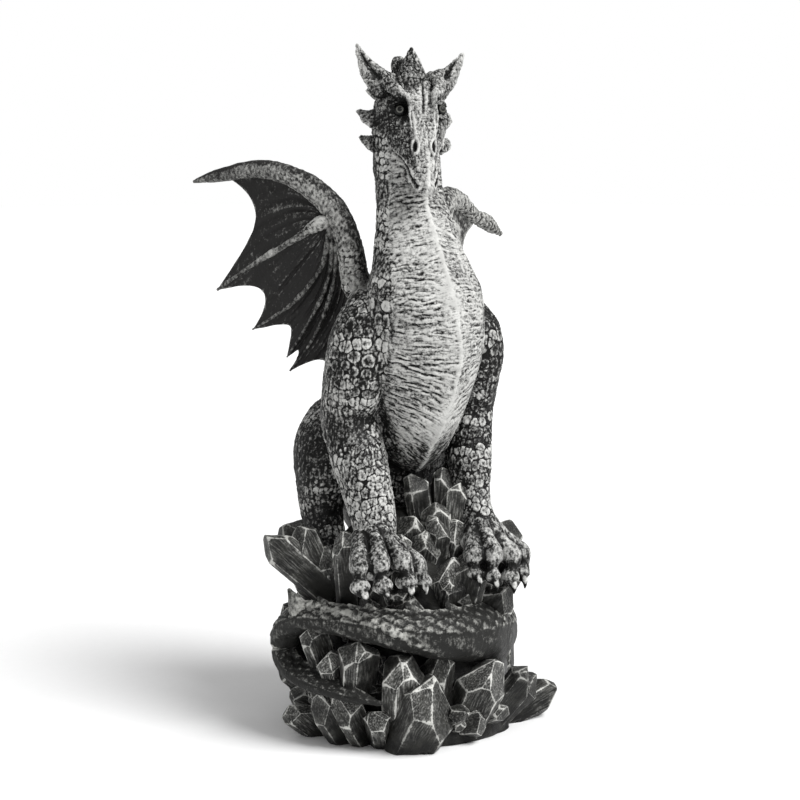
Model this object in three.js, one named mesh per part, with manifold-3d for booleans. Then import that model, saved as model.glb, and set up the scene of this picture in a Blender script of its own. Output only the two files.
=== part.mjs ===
// A garden statue: a dragon sitting up on a rock of quartz crystals, its tail laid round the rock.
// One hollow casting holds the dragon and the rock; the two wings are castings of their own, glued on.
// Millimetres, +Z up. The dragon faces -Y, its left side is +X, and it stands on Z = 0.

import * as THREE from 'three';
import Module from 'manifold-3d';

const wasm = await Module();
wasm.setup();

// ---- driving sizes ----
const STATUE_HEIGHT = 600;      // tip of the horns above the ground
const BASE_RADIUS = 104;        // the rock's foot, about its axis
const ROCK_TOP = 150;           // where the dragon's feet stand
const HEAD_YAW = -13;           // the head is turned a little to its right, degrees
const HEAD_PITCH = 60;          // the snout points down, degrees below level
const CROWN = [0.8, -4.2, STATUE_HEIGHT - 25];  // top of the skull, where the head's own frame starts
const WING_ROOT = { side: 37, back: 34, height: 385 };
const WING_THICKNESS = 5;
const GLUE_GAP = 0.3;           // between a wing's root and its stump

const radians = THREE.MathUtils.degToRad;

// ---- shapes shared by every part ----

// a point of a smooth curve through rows of numbers, at 0 to 1 along it
function along(rows, t) {
  const span = Math.min(Math.max(t, 0), 1) * (rows.length - 1);
  const i = Math.min(Math.floor(span), rows.length - 2);
  const f = span - i;
  const before = rows[Math.max(i - 1, 0)];
  const after = rows[Math.min(i + 2, rows.length - 1)];
  return rows[i].map((a, k) => {
    const b = rows[i + 1][k];
    const into = (b - before[k]) / 2;
    const out = (after[k] - a) / 2;
    return a + f * (into + f * (3 * (b - a) - 2 * into - out + f * (2 * (a - b) + into + out)));
  });
}

// a closed solid from points and triangles, with its faces turned outward
function solid(points, triangles, matrix = new THREE.Matrix4()) {
  const placed = points.map((p) => new THREE.Vector3(...p).applyMatrix4(matrix));
  let volume = 0;
  for (const [a, b, c] of triangles) {
    volume += placed[a].dot(new THREE.Vector3().crossVectors(placed[b], placed[c]));
  }
  const turned = volume < 0 ? triangles.map(([a, b, c]) => [a, c, b]) : triangles;
  return new wasm.Manifold(new wasm.Mesh({
    numProp: 3,
    vertProperties: new Float32Array(placed.flatMap((p) => [p.x, p.y, p.z])),
    triVerts: new Uint32Array(turned.flat()),
  }));
}

// rings of points joined into a closed skin, with a point at either end
function skin(first, rings, last, matrix) {
  const sides = rings[0].length;
  const points = [first, ...rings.flat(), last];
  const triangles = [];
  for (let j = 0; j < sides; j += 1) {
    const next = (j + 1) % sides;
    triangles.push([0, 1 + next, 1 + j]);
    for (let i = 0; i + 1 < rings.length; i += 1) {
      const low = 1 + i * sides;
      const high = low + sides;
      triangles.push([low + j, low + next, high + next], [low + j, high + next, high + j]);
    }
    const end = 1 + (rings.length - 1) * sides;
    triangles.push([points.length - 1, end + j, end + next]);
  }
  return solid(points, triangles, matrix);
}

// a limb: stations are x, y, z, half-width and half-depth; depth is measured along `facing`
function limb(stations, { sides = 12, rings = 12, facing = [0, -1, 0], matrix } = {}) {
  const centre = (t) => new THREE.Vector3(...along(stations, t));
  const loops = [];
  for (let i = 0; i < rings; i += 1) {
    const t = i / (rings - 1);
    const [, , , width, depth] = along(stations, t);
    const tangent = centre(Math.min(t + 0.01, 1)).sub(centre(Math.max(t - 0.01, 0))).normalize();
    const across = new THREE.Vector3().crossVectors(tangent, new THREE.Vector3(...facing)).normalize();
    const out = new THREE.Vector3().crossVectors(across, tangent);
    loops.push(Array.from({ length: sides }, (_, j) => {
      const angle = (2 * Math.PI * j) / sides;
      return centre(t).addScaledVector(across, width * Math.cos(angle))
        .addScaledVector(out, depth * Math.sin(angle)).toArray();
    }));
  }
  const cap = (t, towards) => {
    const [, , , width, depth] = along(stations, t);
    const step = centre(t).sub(centre(towards)).normalize().multiplyScalar(0.6 * Math.min(width, depth));
    return centre(t).add(step).toArray();
  };
  return skin(cap(0, 0.02), loops, cap(1, 0.98), matrix);
}

function ball([x, y, z], [rx, ry, rz], { sides = 14, rings = 8, matrix } = {}) {
  const loops = [];
  for (let i = 1; i < rings; i += 1) {
    const dip = (Math.PI * i) / rings;
    loops.push(Array.from({ length: sides }, (_, j) => {
      const angle = (2 * Math.PI * j) / sides;
      const out = Math.sin(dip);
      return [x + rx * out * Math.cos(angle), y + ry * out * Math.sin(angle), z - rz * Math.cos(dip)];
    }));
  }
  return skin([x, y, z - rz], loops, [x, y, z + rz], matrix);
}

// a spike or claw: a curved cone from a broad foot to a point
function spike(from, to, width, depth, options = {}) {
  const { bend = [0, 0, 0], sides = 6, rings = 4, facing = [0, -1, 0], matrix } = options;
  const middle = from.map((value, k) => (value + to[k]) / 2 + bend[k]);
  return limb([
    [...from, width, depth],
    [...middle, 0.62 * width, 0.62 * depth],
    [...to, 0.12 * width, 0.12 * depth],
  ], { sides, rings, facing, matrix });
}

// a six-sided quartz crystal with a pointed end, the point a little to one side
function crystal([x0, y0, z0, x1, y1, z1, radius], index) {
  const foot = new THREE.Vector3(x0, y0, z0);
  const tip = new THREE.Vector3(x1, y1, z1);
  const axis = tip.clone().sub(foot).normalize();
  const across = new THREE.Vector3().crossVectors(axis, new THREE.Vector3(0.3, 1, 0.2)).normalize();
  const out = new THREE.Vector3().crossVectors(axis, across);
  const spin = 2.4 * index;
  const ring = (centre, size) => Array.from({ length: 6 }, (_, j) => {
    const angle = spin + (Math.PI * j) / 3;
    const reach = size * (1 + 0.16 * Math.sin(3.1 * j + index));
    return centre.clone().addScaledVector(across, reach * Math.cos(angle))
      .addScaledVector(out, reach * Math.sin(angle)).toArray();
  });
  const shoulder = tip.clone().addScaledVector(axis, -0.75 * radius);
  const point = tip.clone().addScaledVector(across, 0.25 * radius * Math.cos(index));
  return skin(foot.toArray(), [ring(foot, 0.86 * radius), ring(shoulder, radius)], point.toArray());
}

function join(bodies) {
  return bodies.reduce((whole, body) => whole.add(body));
}

function piece(name, body, colour, roughness) {
  const mesh = body.getMesh();
  const geometry = new THREE.BufferGeometry();
  geometry.setAttribute('position', new THREE.BufferAttribute(mesh.vertProperties, 3));
  geometry.setIndex(new THREE.BufferAttribute(mesh.triVerts, 1));
  geometry.computeVertexNormals();
  const material = new THREE.MeshStandardMaterial({ color: colour, roughness, metalness: 0 });
  const result = new THREE.Mesh(geometry, material);
  result.name = name;
  return result;
}

// ---- trunk: belly, chest and neck, level by level ----
// each level is its height, the front, middle and back of its outline in Y, and its half-width
const TRUNK_LEVELS = [
  [228, -18, -4, 40, 8],
  [240, -34, 0, 74, 25],
  [255, -45, 5, 84, 35],
  [271, -57, 6, 84, 40],
  [298, -66, -2, 78, 49],
  [334, -75, -12, 66, 56],
  [360, -77, -18, 48, 55],
  [388, -73, -26, 24, 50],
  [425, -50, -18, 19, 39],
  [466, -25, -3, 28, 31],
  [502, -22, 5, 36, 29],
  [535, -14, 8, 32, 27],
];
const KEEL_HEIGHT = 0.05;       // the belly's middle ridge, as a part of the front depth
const KEEL_WIDTH = 0.22;        // in radians round the body

function trunk() {
  const sides = 20;
  const rings = 15;
  const loops = [];
  for (let i = 0; i < rings; i += 1) {
    const [z, front, middle, back, half] = along(TRUNK_LEVELS, i / (rings - 1));
    loops.push(Array.from({ length: sides }, (_, j) => {
      const angle = (2 * Math.PI * j) / sides;
      const ahead = Math.cos(angle);
      const keel = 1 + KEEL_HEIGHT * Math.exp(-((Math.min(angle, 2 * Math.PI - angle) / KEEL_WIDTH) ** 2));
      const depth = ahead > 0 ? (middle - front) * keel : back - middle;
      return [half * Math.sin(angle), middle - depth * ahead, z];
    }));
  }
  return skin([0, 6, 222], loops, [0, 8, 540]);
}

// ---- haunches, hind legs and tail ----
const TAIL = [
  [0, 72, 205, 38, 38],
  [20, 98, 160, 33, 30],
  [58, 92, 116, 29, 27],
  [80, 54, 86, 27, 26],
  [82, 6, 74, 25, 27],
  [56, -44, 82, 24, 27],
  [24, -78, 92, 23, 24],
  [-18, -94, 99, 20, 20],
  [-66, -84, 108, 17, 15],
  [-104, -50, 113, 14, 12],
  [-120, -14, 104, 13, 11],
  [-121, 2, 80, 13, 11],
  [-118, -14, 62, 15, 10],
  [-106, -48, 56, 17, 8],
  [-92, -76, 51, 10, 5],
  [-78, -98, 48, 2, 2],
];
const HIND_LEG = [
  [40, 62, 262, 28, 40],
  [56, 46, 246, 30, 40],
  [68, 34, 222, 26, 30],
  [72, 32, 196, 19, 22],
  [72, 24, 174, 17, 18],
  [74, 2, 154, 20, 12],
];

function hindquarters() {
  const bodies = [
    ball([0, 48, 236], [58, 48, 70], { sides: 14, rings: 8 }),
    limb(TAIL, { sides: 10, rings: 36, facing: [0, 0, 1] }),
  ];
  for (const side of [-1, 1]) {
    const stations = HIND_LEG.map(([x, ...rest]) => [side * x, ...rest]);
    bodies.push(limb(stations, { sides: 10, rings: 10, facing: [0, -1, 0.2] }));
    for (const spread of [-1, 0, 1]) {
      bodies.push(spike([side * 74 + 11 * spread, 4, 152], [side * 74 + 15 * spread, -22, 140], 9, 8,
        { bend: [0, 0, 5], sides: 5, rings: 3, facing: [0, 0, 1] }));
    }
  }
  return bodies;
}

// ---- forelegs ----
// stations from the shoulder to the wrist: right leg and left leg, the left one a little slimmer
const RIGHT_FORELEG = [
  [-34, 2, 372, 24, 26],
  [-48, -10, 348, 30, 32],
  [-58, -8, 312, 26, 32],
  [-62, -6, 276, 24, 25],
  [-60, -24, 240, 23, 24],
  [-58, -40, 206, 19, 20],
  [-60, -52, 180, 18, 19],
  [-65, -62, 162, 24, 16],
];
const LEFT_FORELEG = [
  [34, 2, 372, 22, 26],
  [52, -14, 344, 27, 30],
  [56, -10, 308, 22, 28],
  [56, -6, 276, 20, 24],
  [47, -24, 240, 18, 21],
  [40, -42, 206, 15, 18],
  [38, -54, 188, 15, 18],
  [39, -66, 174, 23, 16],
];
const TOES = 4;
const TOE_LENGTH = 30;

function forefoot([x, y, z], side) {
  const bodies = [ball([x, y - 8, z - 8], [24, 21, 14], { sides: 10, rings: 5 })];
  for (let i = 0; i < TOES; i += 1) {
    const fan = radians(-33 + 22 * i) * -side;
    const [dx, dy] = [Math.sin(fan), -Math.cos(fan)];
    const knuckle = [x + 22 * dx, y - 6 + 16 * dy, z - 6];
    const end = [x + 34 * dx, y - 6 + TOE_LENGTH * dy, z - 20];
    bodies.push(limb([
      [x + 12 * dx, y - 4 + 8 * dy, z - 6, 8, 9],
      [...knuckle, 8.5, 9.5],
      [...end, 6.5, 8],
    ], { sides: 7, rings: 4, facing: [0, 0, 1] }));
    bodies.push(spike(end, [x + 37 * dx, y - 6 + (TOE_LENGTH + 7) * dy, z - 32], 4.5, 5,
      { bend: [3 * dx, 3 * dy, 2], sides: 5, rings: 3 }));
  }
  return bodies;
}

function forelegs() {
  return [
    limb(RIGHT_FORELEG, { sides: 12, rings: 13 }),
    limb(LEFT_FORELEG, { sides: 12, rings: 13 }),
    ...forefoot([-68, -62, 166], -1),
    ...forefoot([42, -66, 178], 1),
  ];
}

// ---- head, in a frame of its own: X to its left, Y along the snout, Z out of the brow ----
function headFrame() {
  const yaw = radians(HEAD_YAW);
  const pitch = radians(HEAD_PITCH);
  const ahead = new THREE.Vector3(Math.sin(yaw), -Math.cos(yaw), 0);
  const left = new THREE.Vector3(Math.cos(yaw), Math.sin(yaw), 0);
  const up = new THREE.Vector3(0, 0, 1);
  const snout = ahead.clone().multiplyScalar(Math.cos(pitch)).addScaledVector(up, -Math.sin(pitch));
  const brow = ahead.clone().multiplyScalar(Math.sin(pitch)).addScaledVector(up, Math.cos(pitch));
  return new THREE.Matrix4().makeBasis(left, snout, brow).setPosition(...CROWN);
}

const SKULL = [
  [0, -4, -26, 20, 20],
  [0, 8, -26, 29, 25],
  [0, 24, -26, 34, 26],
  [0, 40, -23, 32, 22],
  [0, 58, -19, 24, 17],
  [0, 78, -14, 17, 13],
  [0, 96, -11, 13, 10],
  [0, 108, -8, 8, 7],
];
const JAW = [
  [0, 22, -44, 31, 14],
  [0, 44, -43, 31, 13],
  [0, 62, -38, 23, 12],
  [0, 80, -30, 15, 10],
  [0, 94, -23, 8, 7],
];
// cheek spikes: where each leaves the cheek and where its tip is
const CHEEK_SPIKES = [
  [[26, 6, -16], [40, -2, -17]],
  [[27, 26, -26], [46, 19, -36]],
  [[27, 44, -38], [43, 37, -46]],
];

function head() {
  const matrix = headFrame();
  const brow = [0, 0, 1];
  const bodies = [
    limb(SKULL, { sides: 12, rings: 9, facing: brow, matrix }),
    limb(JAW, { sides: 10, rings: 5, facing: brow, matrix }),
    spike([0, 3, -10], [0, -22, 6], 15, 12, { sides: 7, facing: [0, 1, 0], matrix }),
    spike([-8, -4, -22], [-12, -22, -10], 9, 8, { sides: 6, rings: 3, facing: [0, 1, 0], matrix }),
  ];
  for (const side of [-1, 1]) {
    bodies.push(spike([side * 23, 6, -12], [side * 47, side < 0 ? -28 : -19, 1], 14, 9,
      { bend: [side * 1, 3, -4], sides: 7, rings: 5, facing: [side * 0.5, 0.2, 1], matrix }));
    bodies.push(limb([
      [side * 27, 8, -5, 5, 6],
      [side * 22, 26, 1, 6, 7],
      [side * 13, 44, -1, 5, 6],
      [side * 9, 70, -3, 3, 4],
    ], { sides: 6, rings: 6, facing: brow, matrix }));
    for (const [foot, tip] of CHEEK_SPIKES) {
      bodies.push(spike([side * foot[0], foot[1], foot[2]], [side * tip[0], tip[1], tip[2]], 8, 5,
        { sides: 5, rings: 3, facing: brow, matrix }));
    }
  }
  return bodies;
}

// ---- spikes down the neck and back, and on the tail ----
function backSpikes() {
  const bodies = [];
  const count = 9;
  for (let i = 0; i < count; i += 1) {
    const [z, , , back] = along(TRUNK_LEVELS, 0.94 - (0.86 * i) / (count - 1));
    const size = 10 - 0.3 * Math.abs(i - 5);
    bodies.push(spike([0, back - 5, z + 2], [0, back + 1.5 * size, z + 7], 0.4 * size, size,
      { sides: 5, rings: 3, facing: [0, 0, 1] }));
  }
  for (let i = 0; i < 12; i += 1) {
    const t = 0.03 + 0.052 * i;
    const [x, y, z, , depth] = along(TAIL, t);
    const [nx, ny, nz] = along(TAIL, t + 0.02);
    const step = new THREE.Vector3(nx - x, ny - y, nz - z).normalize().multiplyScalar(9);
    const foot = [x, y, z + depth - 4];
    const top = [x + step.x, y + step.y, z + depth + 8 + step.z];
    bodies.push(spike(foot, top, 4, 9, { sides: 5, rings: 3, facing: step.toArray() }));
  }
  return bodies;
}

// ---- wings ----
// every curve is in the wing's own frame: outward, up and toward the front, from the wing's root
const WING_ARM = [
  [-20, -16, -2, 12, 12],
  [-6, -2, 0, 13, 13],
  [0, 14, 2, 12.5, 12.5],
  [3, 36, 4, 11.5, 11.5],
  [13, 65, 6, 11, 11],
  [31, 85, 8, 10.5, 10],
  [58, 100, 8, 9, 8.5],
  [89, 105, 6, 8, 7],
  [119, 100, 3, 6.5, 6],
  [138, 96, 1, 4.5, 4.5],
  [153, 92, 0, 1.2, 1.2],
];
// the fingers that spread the skin, from the wrist to the tip; the last one is the skin's inner edge
const WING_FINGERS = [
  [[14, 60, 4], [29, 80, 4], [52, 95, 3], [76, 100, 1], [98, 99, 0], [119, 95, -1]],
  [[22, 62, 8], [32, 56, 16], [53, 43, 17], [86, 24, 14], [108, 10, 10], [129, -4, 6]],
  [[22, 58, 6], [28, 25, 4], [40, 5, 5], [58, -14, 4], [77, -27, 3], [97, -39, 2]],
  [[20, 52, 4], [23, 20, 0], [29, -2, 0], [39, -22, 0], [51, -42, 0], [65, -63, 0]],
  [[16, 46, 2], [20, 12, -2], [26, -12, -2], [34, -33, -2], [47, -55, -2], [62, -75, 0]],
  [[6, 26, -1], [7, 4, -4], [9, -18, -6], [11, -38, -6], [15, -58, -6], [22, -74, -4]],
];
const FINGER_RADII = [0, 5.5, 4, 3.2, 3.2, 0];
const SCALLOPS = [0.3, 0.26, 0.2, 0.12, 0.12];
const WING_SPAN = 153;
// how each wing is set: the way it points in plan, how far its end droops and how far it curls forward
const WING_POSES = {
  right: { side: -1, sweep: radians(45), droop: 0, curl: 0 },
  left: { side: 1, sweep: radians(50), droop: 58, curl: 29 },
};
// the glued face looks outward and up
const ROOT_NORMAL = [0.5, 0.866, 0];

function wingFrame({ side, sweep }) {
  const outward = new THREE.Vector3(side * Math.cos(sweep), Math.sin(sweep), 0);
  const front = new THREE.Vector3(side * Math.sin(sweep), -Math.cos(sweep), 0);
  return new THREE.Matrix4().makeBasis(outward, new THREE.Vector3(0, 0, 1), front)
    .setPosition(side * WING_ROOT.side, WING_ROOT.back, WING_ROOT.height);
}

function posed(station, { droop, curl }) {
  const [u, v, n, ...sizes] = station;
  const along01 = Math.max(u, 0) / WING_SPAN;
  return [u, v - droop * along01 ** 1.2, n + curl * along01 ** 3, ...sizes];
}

// one side of the skin as a grid of points, panel by panel across the fingers
function membraneRows(pose) {
  const perPanel = 3;
  const steps = 6;
  const columns = [];
  for (let panel = 0; panel < SCALLOPS.length; panel += 1) {
    for (let i = 0; i < perPanel; i += 1) columns.push([panel, i / perPanel]);
  }
  columns.push([SCALLOPS.length - 1, 1]);
  return columns.map(([panel, f]) => {
    const reach = 1 - SCALLOPS[panel] * Math.sin(Math.PI * f) ** 0.8;
    const sag = 5 * Math.sin(Math.PI * f);
    return Array.from({ length: steps + 1 }, (_, k) => {
      const t = (reach * k) / steps;
      const a = along(WING_FINGERS[panel], t);
      const b = along(WING_FINGERS[panel + 1], t);
      const mix = a.map((value, n) => value + (b[n] - value) * f);
      return posed([mix[0], mix[1], mix[2] - sag * Math.min(1, 3 * t)], pose);
    });
  });
}

// a sheet of even thickness from the grid of its front face
function sheet(rows, thickness, matrix) {
  const width = rows[0].length;
  const front = rows.flat();
  const points = [...front, ...front.map(([u, v, n]) => [u, v, n - thickness])];
  const under = front.length;
  const triangles = [];
  for (let i = 0; i + 1 < rows.length; i += 1) {
    for (let k = 0; k + 1 < width; k += 1) {
      const a = i * width + k;
      const b = a + width;
      triangles.push([a, b, b + 1], [a, b + 1, a + 1]);
      triangles.push([under + a, under + b + 1, under + b], [under + a, under + a + 1, under + b + 1]);
    }
  }
  const last = rows.length - 1;
  const rim = [
    ...Array.from({ length: width - 1 }, (_, k) => k),
    ...Array.from({ length: last }, (_, i) => i * width + width - 1),
    ...Array.from({ length: width - 1 }, (_, k) => last * width + width - 1 - k),
    ...Array.from({ length: last }, (_, i) => (last - i) * width),
  ];
  rim.forEach((a, n) => {
    const b = rim[(n + 1) % rim.length];
    triangles.push([a, b, under + b], [a, under + b, under + a]);
  });
  return solid(points, triangles, matrix);
}

// a block that fills everything beyond a flat face: it starts `lift` past the face's middle
function blockBeyond(normal, lift, matrix, size = 90) {
  const axis = new THREE.Vector3(...normal).normalize();
  const across = new THREE.Vector3().crossVectors(axis, new THREE.Vector3(0.2, 0.1, 1)).normalize();
  const out = new THREE.Vector3().crossVectors(axis, across);
  const corners = [[1, 1], [-1, 1], [-1, -1], [1, -1]];
  const square = (distance) => corners.map(([a, b]) => axis.clone().multiplyScalar(distance)
    .addScaledVector(across, a * size).addScaledVector(out, b * size).toArray());
  const middle = (distance) => axis.clone().multiplyScalar(distance).toArray();
  return skin(middle(lift), [square(lift), square(lift + 2 * size)], middle(lift + 2 * size), matrix);
}

function wing(pose) {
  const matrix = wingFrame(pose);
  const arm = limb(WING_ARM.map((p) => posed(p, pose)), { sides: 10, rings: 16, facing: [0, 0, 1], matrix });
  const bodies = [arm.intersect(blockBeyond(ROOT_NORMAL, GLUE_GAP / 2, matrix, 200)),
    sheet(membraneRows(pose), WING_THICKNESS, matrix)];
  WING_FINGERS.forEach((finger, i) => {
    if (FINGER_RADII[i] === 0) return;
    const stations = finger.map((p, k) => {
      const size = FINGER_RADII[i] * (1 - 0.75 * (k / (finger.length - 1)));
      return posed([...p, size, size], pose);
    });
    bodies.push(limb(stations, { sides: 5, rings: 8, facing: [0, 0, 1], matrix }));
  });
  return join(bodies).subtract(wingStump(pose, GLUE_GAP));
}

// the stump on the shoulder that a wing is glued to, cut by the same face
function wingStump(pose, extra = 0) {
  const matrix = wingFrame(pose);
  const stations = [[-46, -52, 6, 24, 20], [-28, -28, 0, 16, 16], ...WING_ARM.slice(1, 4)];
  const stump = limb(stations.map(([u, v, n, width, depth]) => [u, v, n, width + extra, depth + extra]),
    { sides: 10, rings: 9, facing: [0, 0, 1], matrix });
  return stump.subtract(blockBeyond(ROOT_NORMAL, extra - GLUE_GAP / 2, matrix));
}

// ---- rock of crystals ----
const FRONT_CRYSTALS = [
  [-39, -78, 0, -26, -110, 66, 29],
  [-45, -66, 3, -57, -99, 86, 21],
  [-77, -40, 17, -88, -76, 98, 19],
  [-11, -60, 0, -23, -94, 84, 17],
  [-84, -40, 0, -118, -56, 48, 14],
  [-70, -50, 0, -104, -72, 50, 15],
  [-60, -64, 0, -77, -88, 38, 13],
  [-90, -10, 0, -122, -8, 30, 16],
  [-86, -20, 41, -118, -42, 108, 14],
  [-79, -30, 15, -108, -54, 86, 14],
  [11, -70, 2, 24, -108, 74, 23],
  [34, -66, 0, 75, -84, 56, 15],
  [49, -56, 0, 94, -68, 42, 13],
  [62, -50, 0, 122, -50, 24, 16],
];
const TOP_CRYSTALS = [
  [-80, -14, 122, -132, 20, 176, 16],
  [-82, -8, 122, -106, 12, 182, 16],
  [-78, -14, 118, -90, -6, 166, 14],
  [-80, -40, 120, -84, -40, 186, 12],
  [2, -30, 140, -11, -28, 228, 12],
  [20, -26, 140, 23, -24, 230, 13],
  [16, -44, 136, 27, -42, 219, 14],
  [4, -46, 130, -1, -48, 206, 14],
  [7, -52, 100, -1, -72, 156, 23],
  [18, -62, 100, 24, -84, 158, 15],
  [65, -26, 115, 99, -12, 172, 14],
  [50, -46, 100, 80, -50, 150, 17],
  [36, -52, 92, 58, -76, 132, 19],
  [-40, -56, 96, -44, -82, 132, 18],
  [-64, -44, 96, -74, -66, 126, 18],
];

// the crystals that fan out behind, in two tiers: how many, between which angles about the axis in
// radians, the height of their feet, how far out and up their tips reach, their radius and its phase
const BACK_LOW = {
  count: 10, from: radians(8), to: radians(186), height: 8, reach: 108, rise: 40, radius: 18, phase: 0.4,
};
const BACK_HIGH = {
  count: 8, from: radians(20), to: radians(168), height: 104, reach: 106, rise: 50, radius: 15, phase: 1.9,
};

function ringOfCrystals({ count, from, to, height, reach, rise, radius, phase }) {
  return Array.from({ length: count }, (_, i) => {
    const angle = from + ((to - from) * i) / (count - 1);
    const wave = Math.sin(phase + 2.1 * i);
    const size = radius * (1 + 0.25 * wave);
    const out = reach * (1 + 0.1 * Math.cos(1.7 * i + phase));
    const inner = 0.55 * reach;
    return [
      inner * Math.cos(angle), inner * Math.sin(angle), height,
      out * Math.cos(angle), out * Math.sin(angle), height + rise * (1 + 0.4 * wave), size,
    ];
  });
}

function rock() {
  const core = limb([
    [0, 0, 1, BASE_RADIUS - 8, BASE_RADIUS - 10],
    [0, 0, 40, BASE_RADIUS - 14, BASE_RADIUS - 16],
    [-3, 4, 80, 82, 80],
    [-4, 4, 112, 78, 78],
    [-4, 6, 136, 78, 70],
    [-2, 14, ROCK_TOP - 6, 62, 54],
  ], { sides: 16, rings: 6, facing: [0, -1, 0] });
  const backLow = ringOfCrystals(BACK_LOW);
  const backHigh = ringOfCrystals(BACK_HIGH);
  const crystals = [...FRONT_CRYSTALS, ...TOP_CRYSTALS, ...backLow, ...backHigh];
  return [core, ...crystals.map(crystal)];
}

// ---- the statue ----
// a facet that stands out by less than this is merged into its neighbour
const SMALLEST_DETAIL = 0.5;

function buildCasting() {
  const whole = join([
    trunk(), ...hindquarters(), ...forelegs(), ...head(), ...backSpikes(), ...rock(),
    wingStump(WING_POSES.right), wingStump(WING_POSES.left),
  ]);
  const ground = blockBeyond([0, 0, -1], 0, new THREE.Matrix4(), 300);
  return whole.subtract(ground);
}

// the largest body of a join, without the slivers that a cut or a join leaves
function tidied(body) {
  const merged = body.asOriginal().simplify(SMALLEST_DETAIL);
  return merged.decompose().reduce((most, other) => (other.volume() > most.volume() ? other : most));
}

const statue = new THREE.Group();
statue.add(piece('dragon_on_crystal_rock', tidied(buildCasting()), 0x3a3b3a, 0.6));
statue.add(piece('right_wing', tidied(wing(WING_POSES.right)), 0x34302e, 0.6));
statue.add(piece('left_wing', tidied(wing(WING_POSES.left)), 0x34302e, 0.6));

export default statue;
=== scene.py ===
import itertools
import math

import bpy
import numpy as np
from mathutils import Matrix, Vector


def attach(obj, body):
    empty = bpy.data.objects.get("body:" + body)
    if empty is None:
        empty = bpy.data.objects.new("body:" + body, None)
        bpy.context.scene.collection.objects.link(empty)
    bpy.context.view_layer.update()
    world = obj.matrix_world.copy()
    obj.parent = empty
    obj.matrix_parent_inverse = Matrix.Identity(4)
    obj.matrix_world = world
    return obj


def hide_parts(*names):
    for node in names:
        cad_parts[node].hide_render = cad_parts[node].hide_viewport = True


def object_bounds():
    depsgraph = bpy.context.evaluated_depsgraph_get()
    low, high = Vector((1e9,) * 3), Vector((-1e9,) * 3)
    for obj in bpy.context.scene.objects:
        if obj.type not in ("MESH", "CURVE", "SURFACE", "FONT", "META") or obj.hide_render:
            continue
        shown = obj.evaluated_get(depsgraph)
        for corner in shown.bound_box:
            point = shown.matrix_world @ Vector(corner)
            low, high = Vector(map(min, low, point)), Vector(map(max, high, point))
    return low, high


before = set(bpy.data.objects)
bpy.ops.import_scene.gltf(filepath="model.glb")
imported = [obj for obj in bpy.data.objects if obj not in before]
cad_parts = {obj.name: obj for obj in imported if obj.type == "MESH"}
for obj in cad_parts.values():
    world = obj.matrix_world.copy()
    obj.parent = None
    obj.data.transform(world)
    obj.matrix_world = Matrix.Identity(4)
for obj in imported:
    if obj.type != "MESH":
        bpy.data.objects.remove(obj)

# ---- studio ----
# A plain pale floor in a white room, with one broad soft sun high on the right of the front and a
# weaker round lamp on the left. The statue stands on the floor by its own weight.
cad_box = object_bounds()
statue_low, statue_high = (np.array(corner) for corner in cad_box)
aim = np.array([0.0, 0.0, 0.5 * (statue_low[2] + statue_high[2])])
turn = math.radians(-27)
rise = math.radians(9)
toward_camera = np.array([
    math.sin(turn) * math.cos(rise),
    -math.cos(turn) * math.cos(rise),
    math.sin(rise),
])
to_the_right = np.array([math.cos(turn), math.sin(turn), 0.0])


def pointed(thing, place, target):
    """Sets an object at a place, with its -Z axis toward the target."""
    thing.location = place
    direction = Vector(np.asarray(target, float) - np.asarray(place, float))
    thing.rotation_euler = direction.to_track_quat("-Z", "Y").to_euler()
    bpy.context.scene.collection.objects.link(thing)


CAMERA_DISTANCE = 2.0
lens = bpy.data.cameras.new("portrait_lens")
lens.sensor_width = 36
lens.lens = 101.97
lens.shift_x = -0.0125
lens.shift_y = -0.01625
camera = bpy.data.objects.new("camera", lens)
pointed(camera, aim + CAMERA_DISTANCE * toward_camera, aim)
bpy.context.scene.camera = camera

# each lamp: its name and kind, how far right, toward the camera and up it stands, size and power
LAMPS = [
    ("key_lamp", "SUN", (1.0, 0.56, 1.2), math.radians(34), 3.5),
    ("left_lamp", "AREA", (-1.5, 0.6, 0.5), 1.4, 1.5),
]
for name, kind, (right, ahead, up), size, power in LAMPS:
    light = bpy.data.lights.new(name, kind)
    light.energy = power
    if kind == "SUN":
        light.angle = size
    else:
        light.shape = "DISK"
        light.size = size
    place = aim + right * to_the_right + ahead * toward_camera + np.array([0, 0, up])
    pointed(bpy.data.objects.new(name, light), place, aim)

room = bpy.data.worlds.new("white_room")
room.use_nodes = True
sky = room.node_tree.nodes["Background"].inputs
sky["Color"].default_value = (1.0, 1.0, 1.0, 1.0)
# the room is white to look at, but lights the statue only half as much
ROOM_LIGHT = 0.5
ROOM_BRIGHTNESS = 1.0
seen = room.node_tree.nodes.new("ShaderNodeLightPath").outputs["Is Camera Ray"]
strength = room.node_tree.nodes.new("ShaderNodeMapRange")
strength.inputs["To Min"].default_value = ROOM_LIGHT
strength.inputs["To Max"].default_value = ROOM_BRIGHTNESS
room.node_tree.links.new(seen, strength.inputs["Value"])
room.node_tree.links.new(strength.outputs["Result"], sky["Strength"])
bpy.context.scene.world = room
bpy.context.scene.view_settings.view_transform = "Standard"


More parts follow.
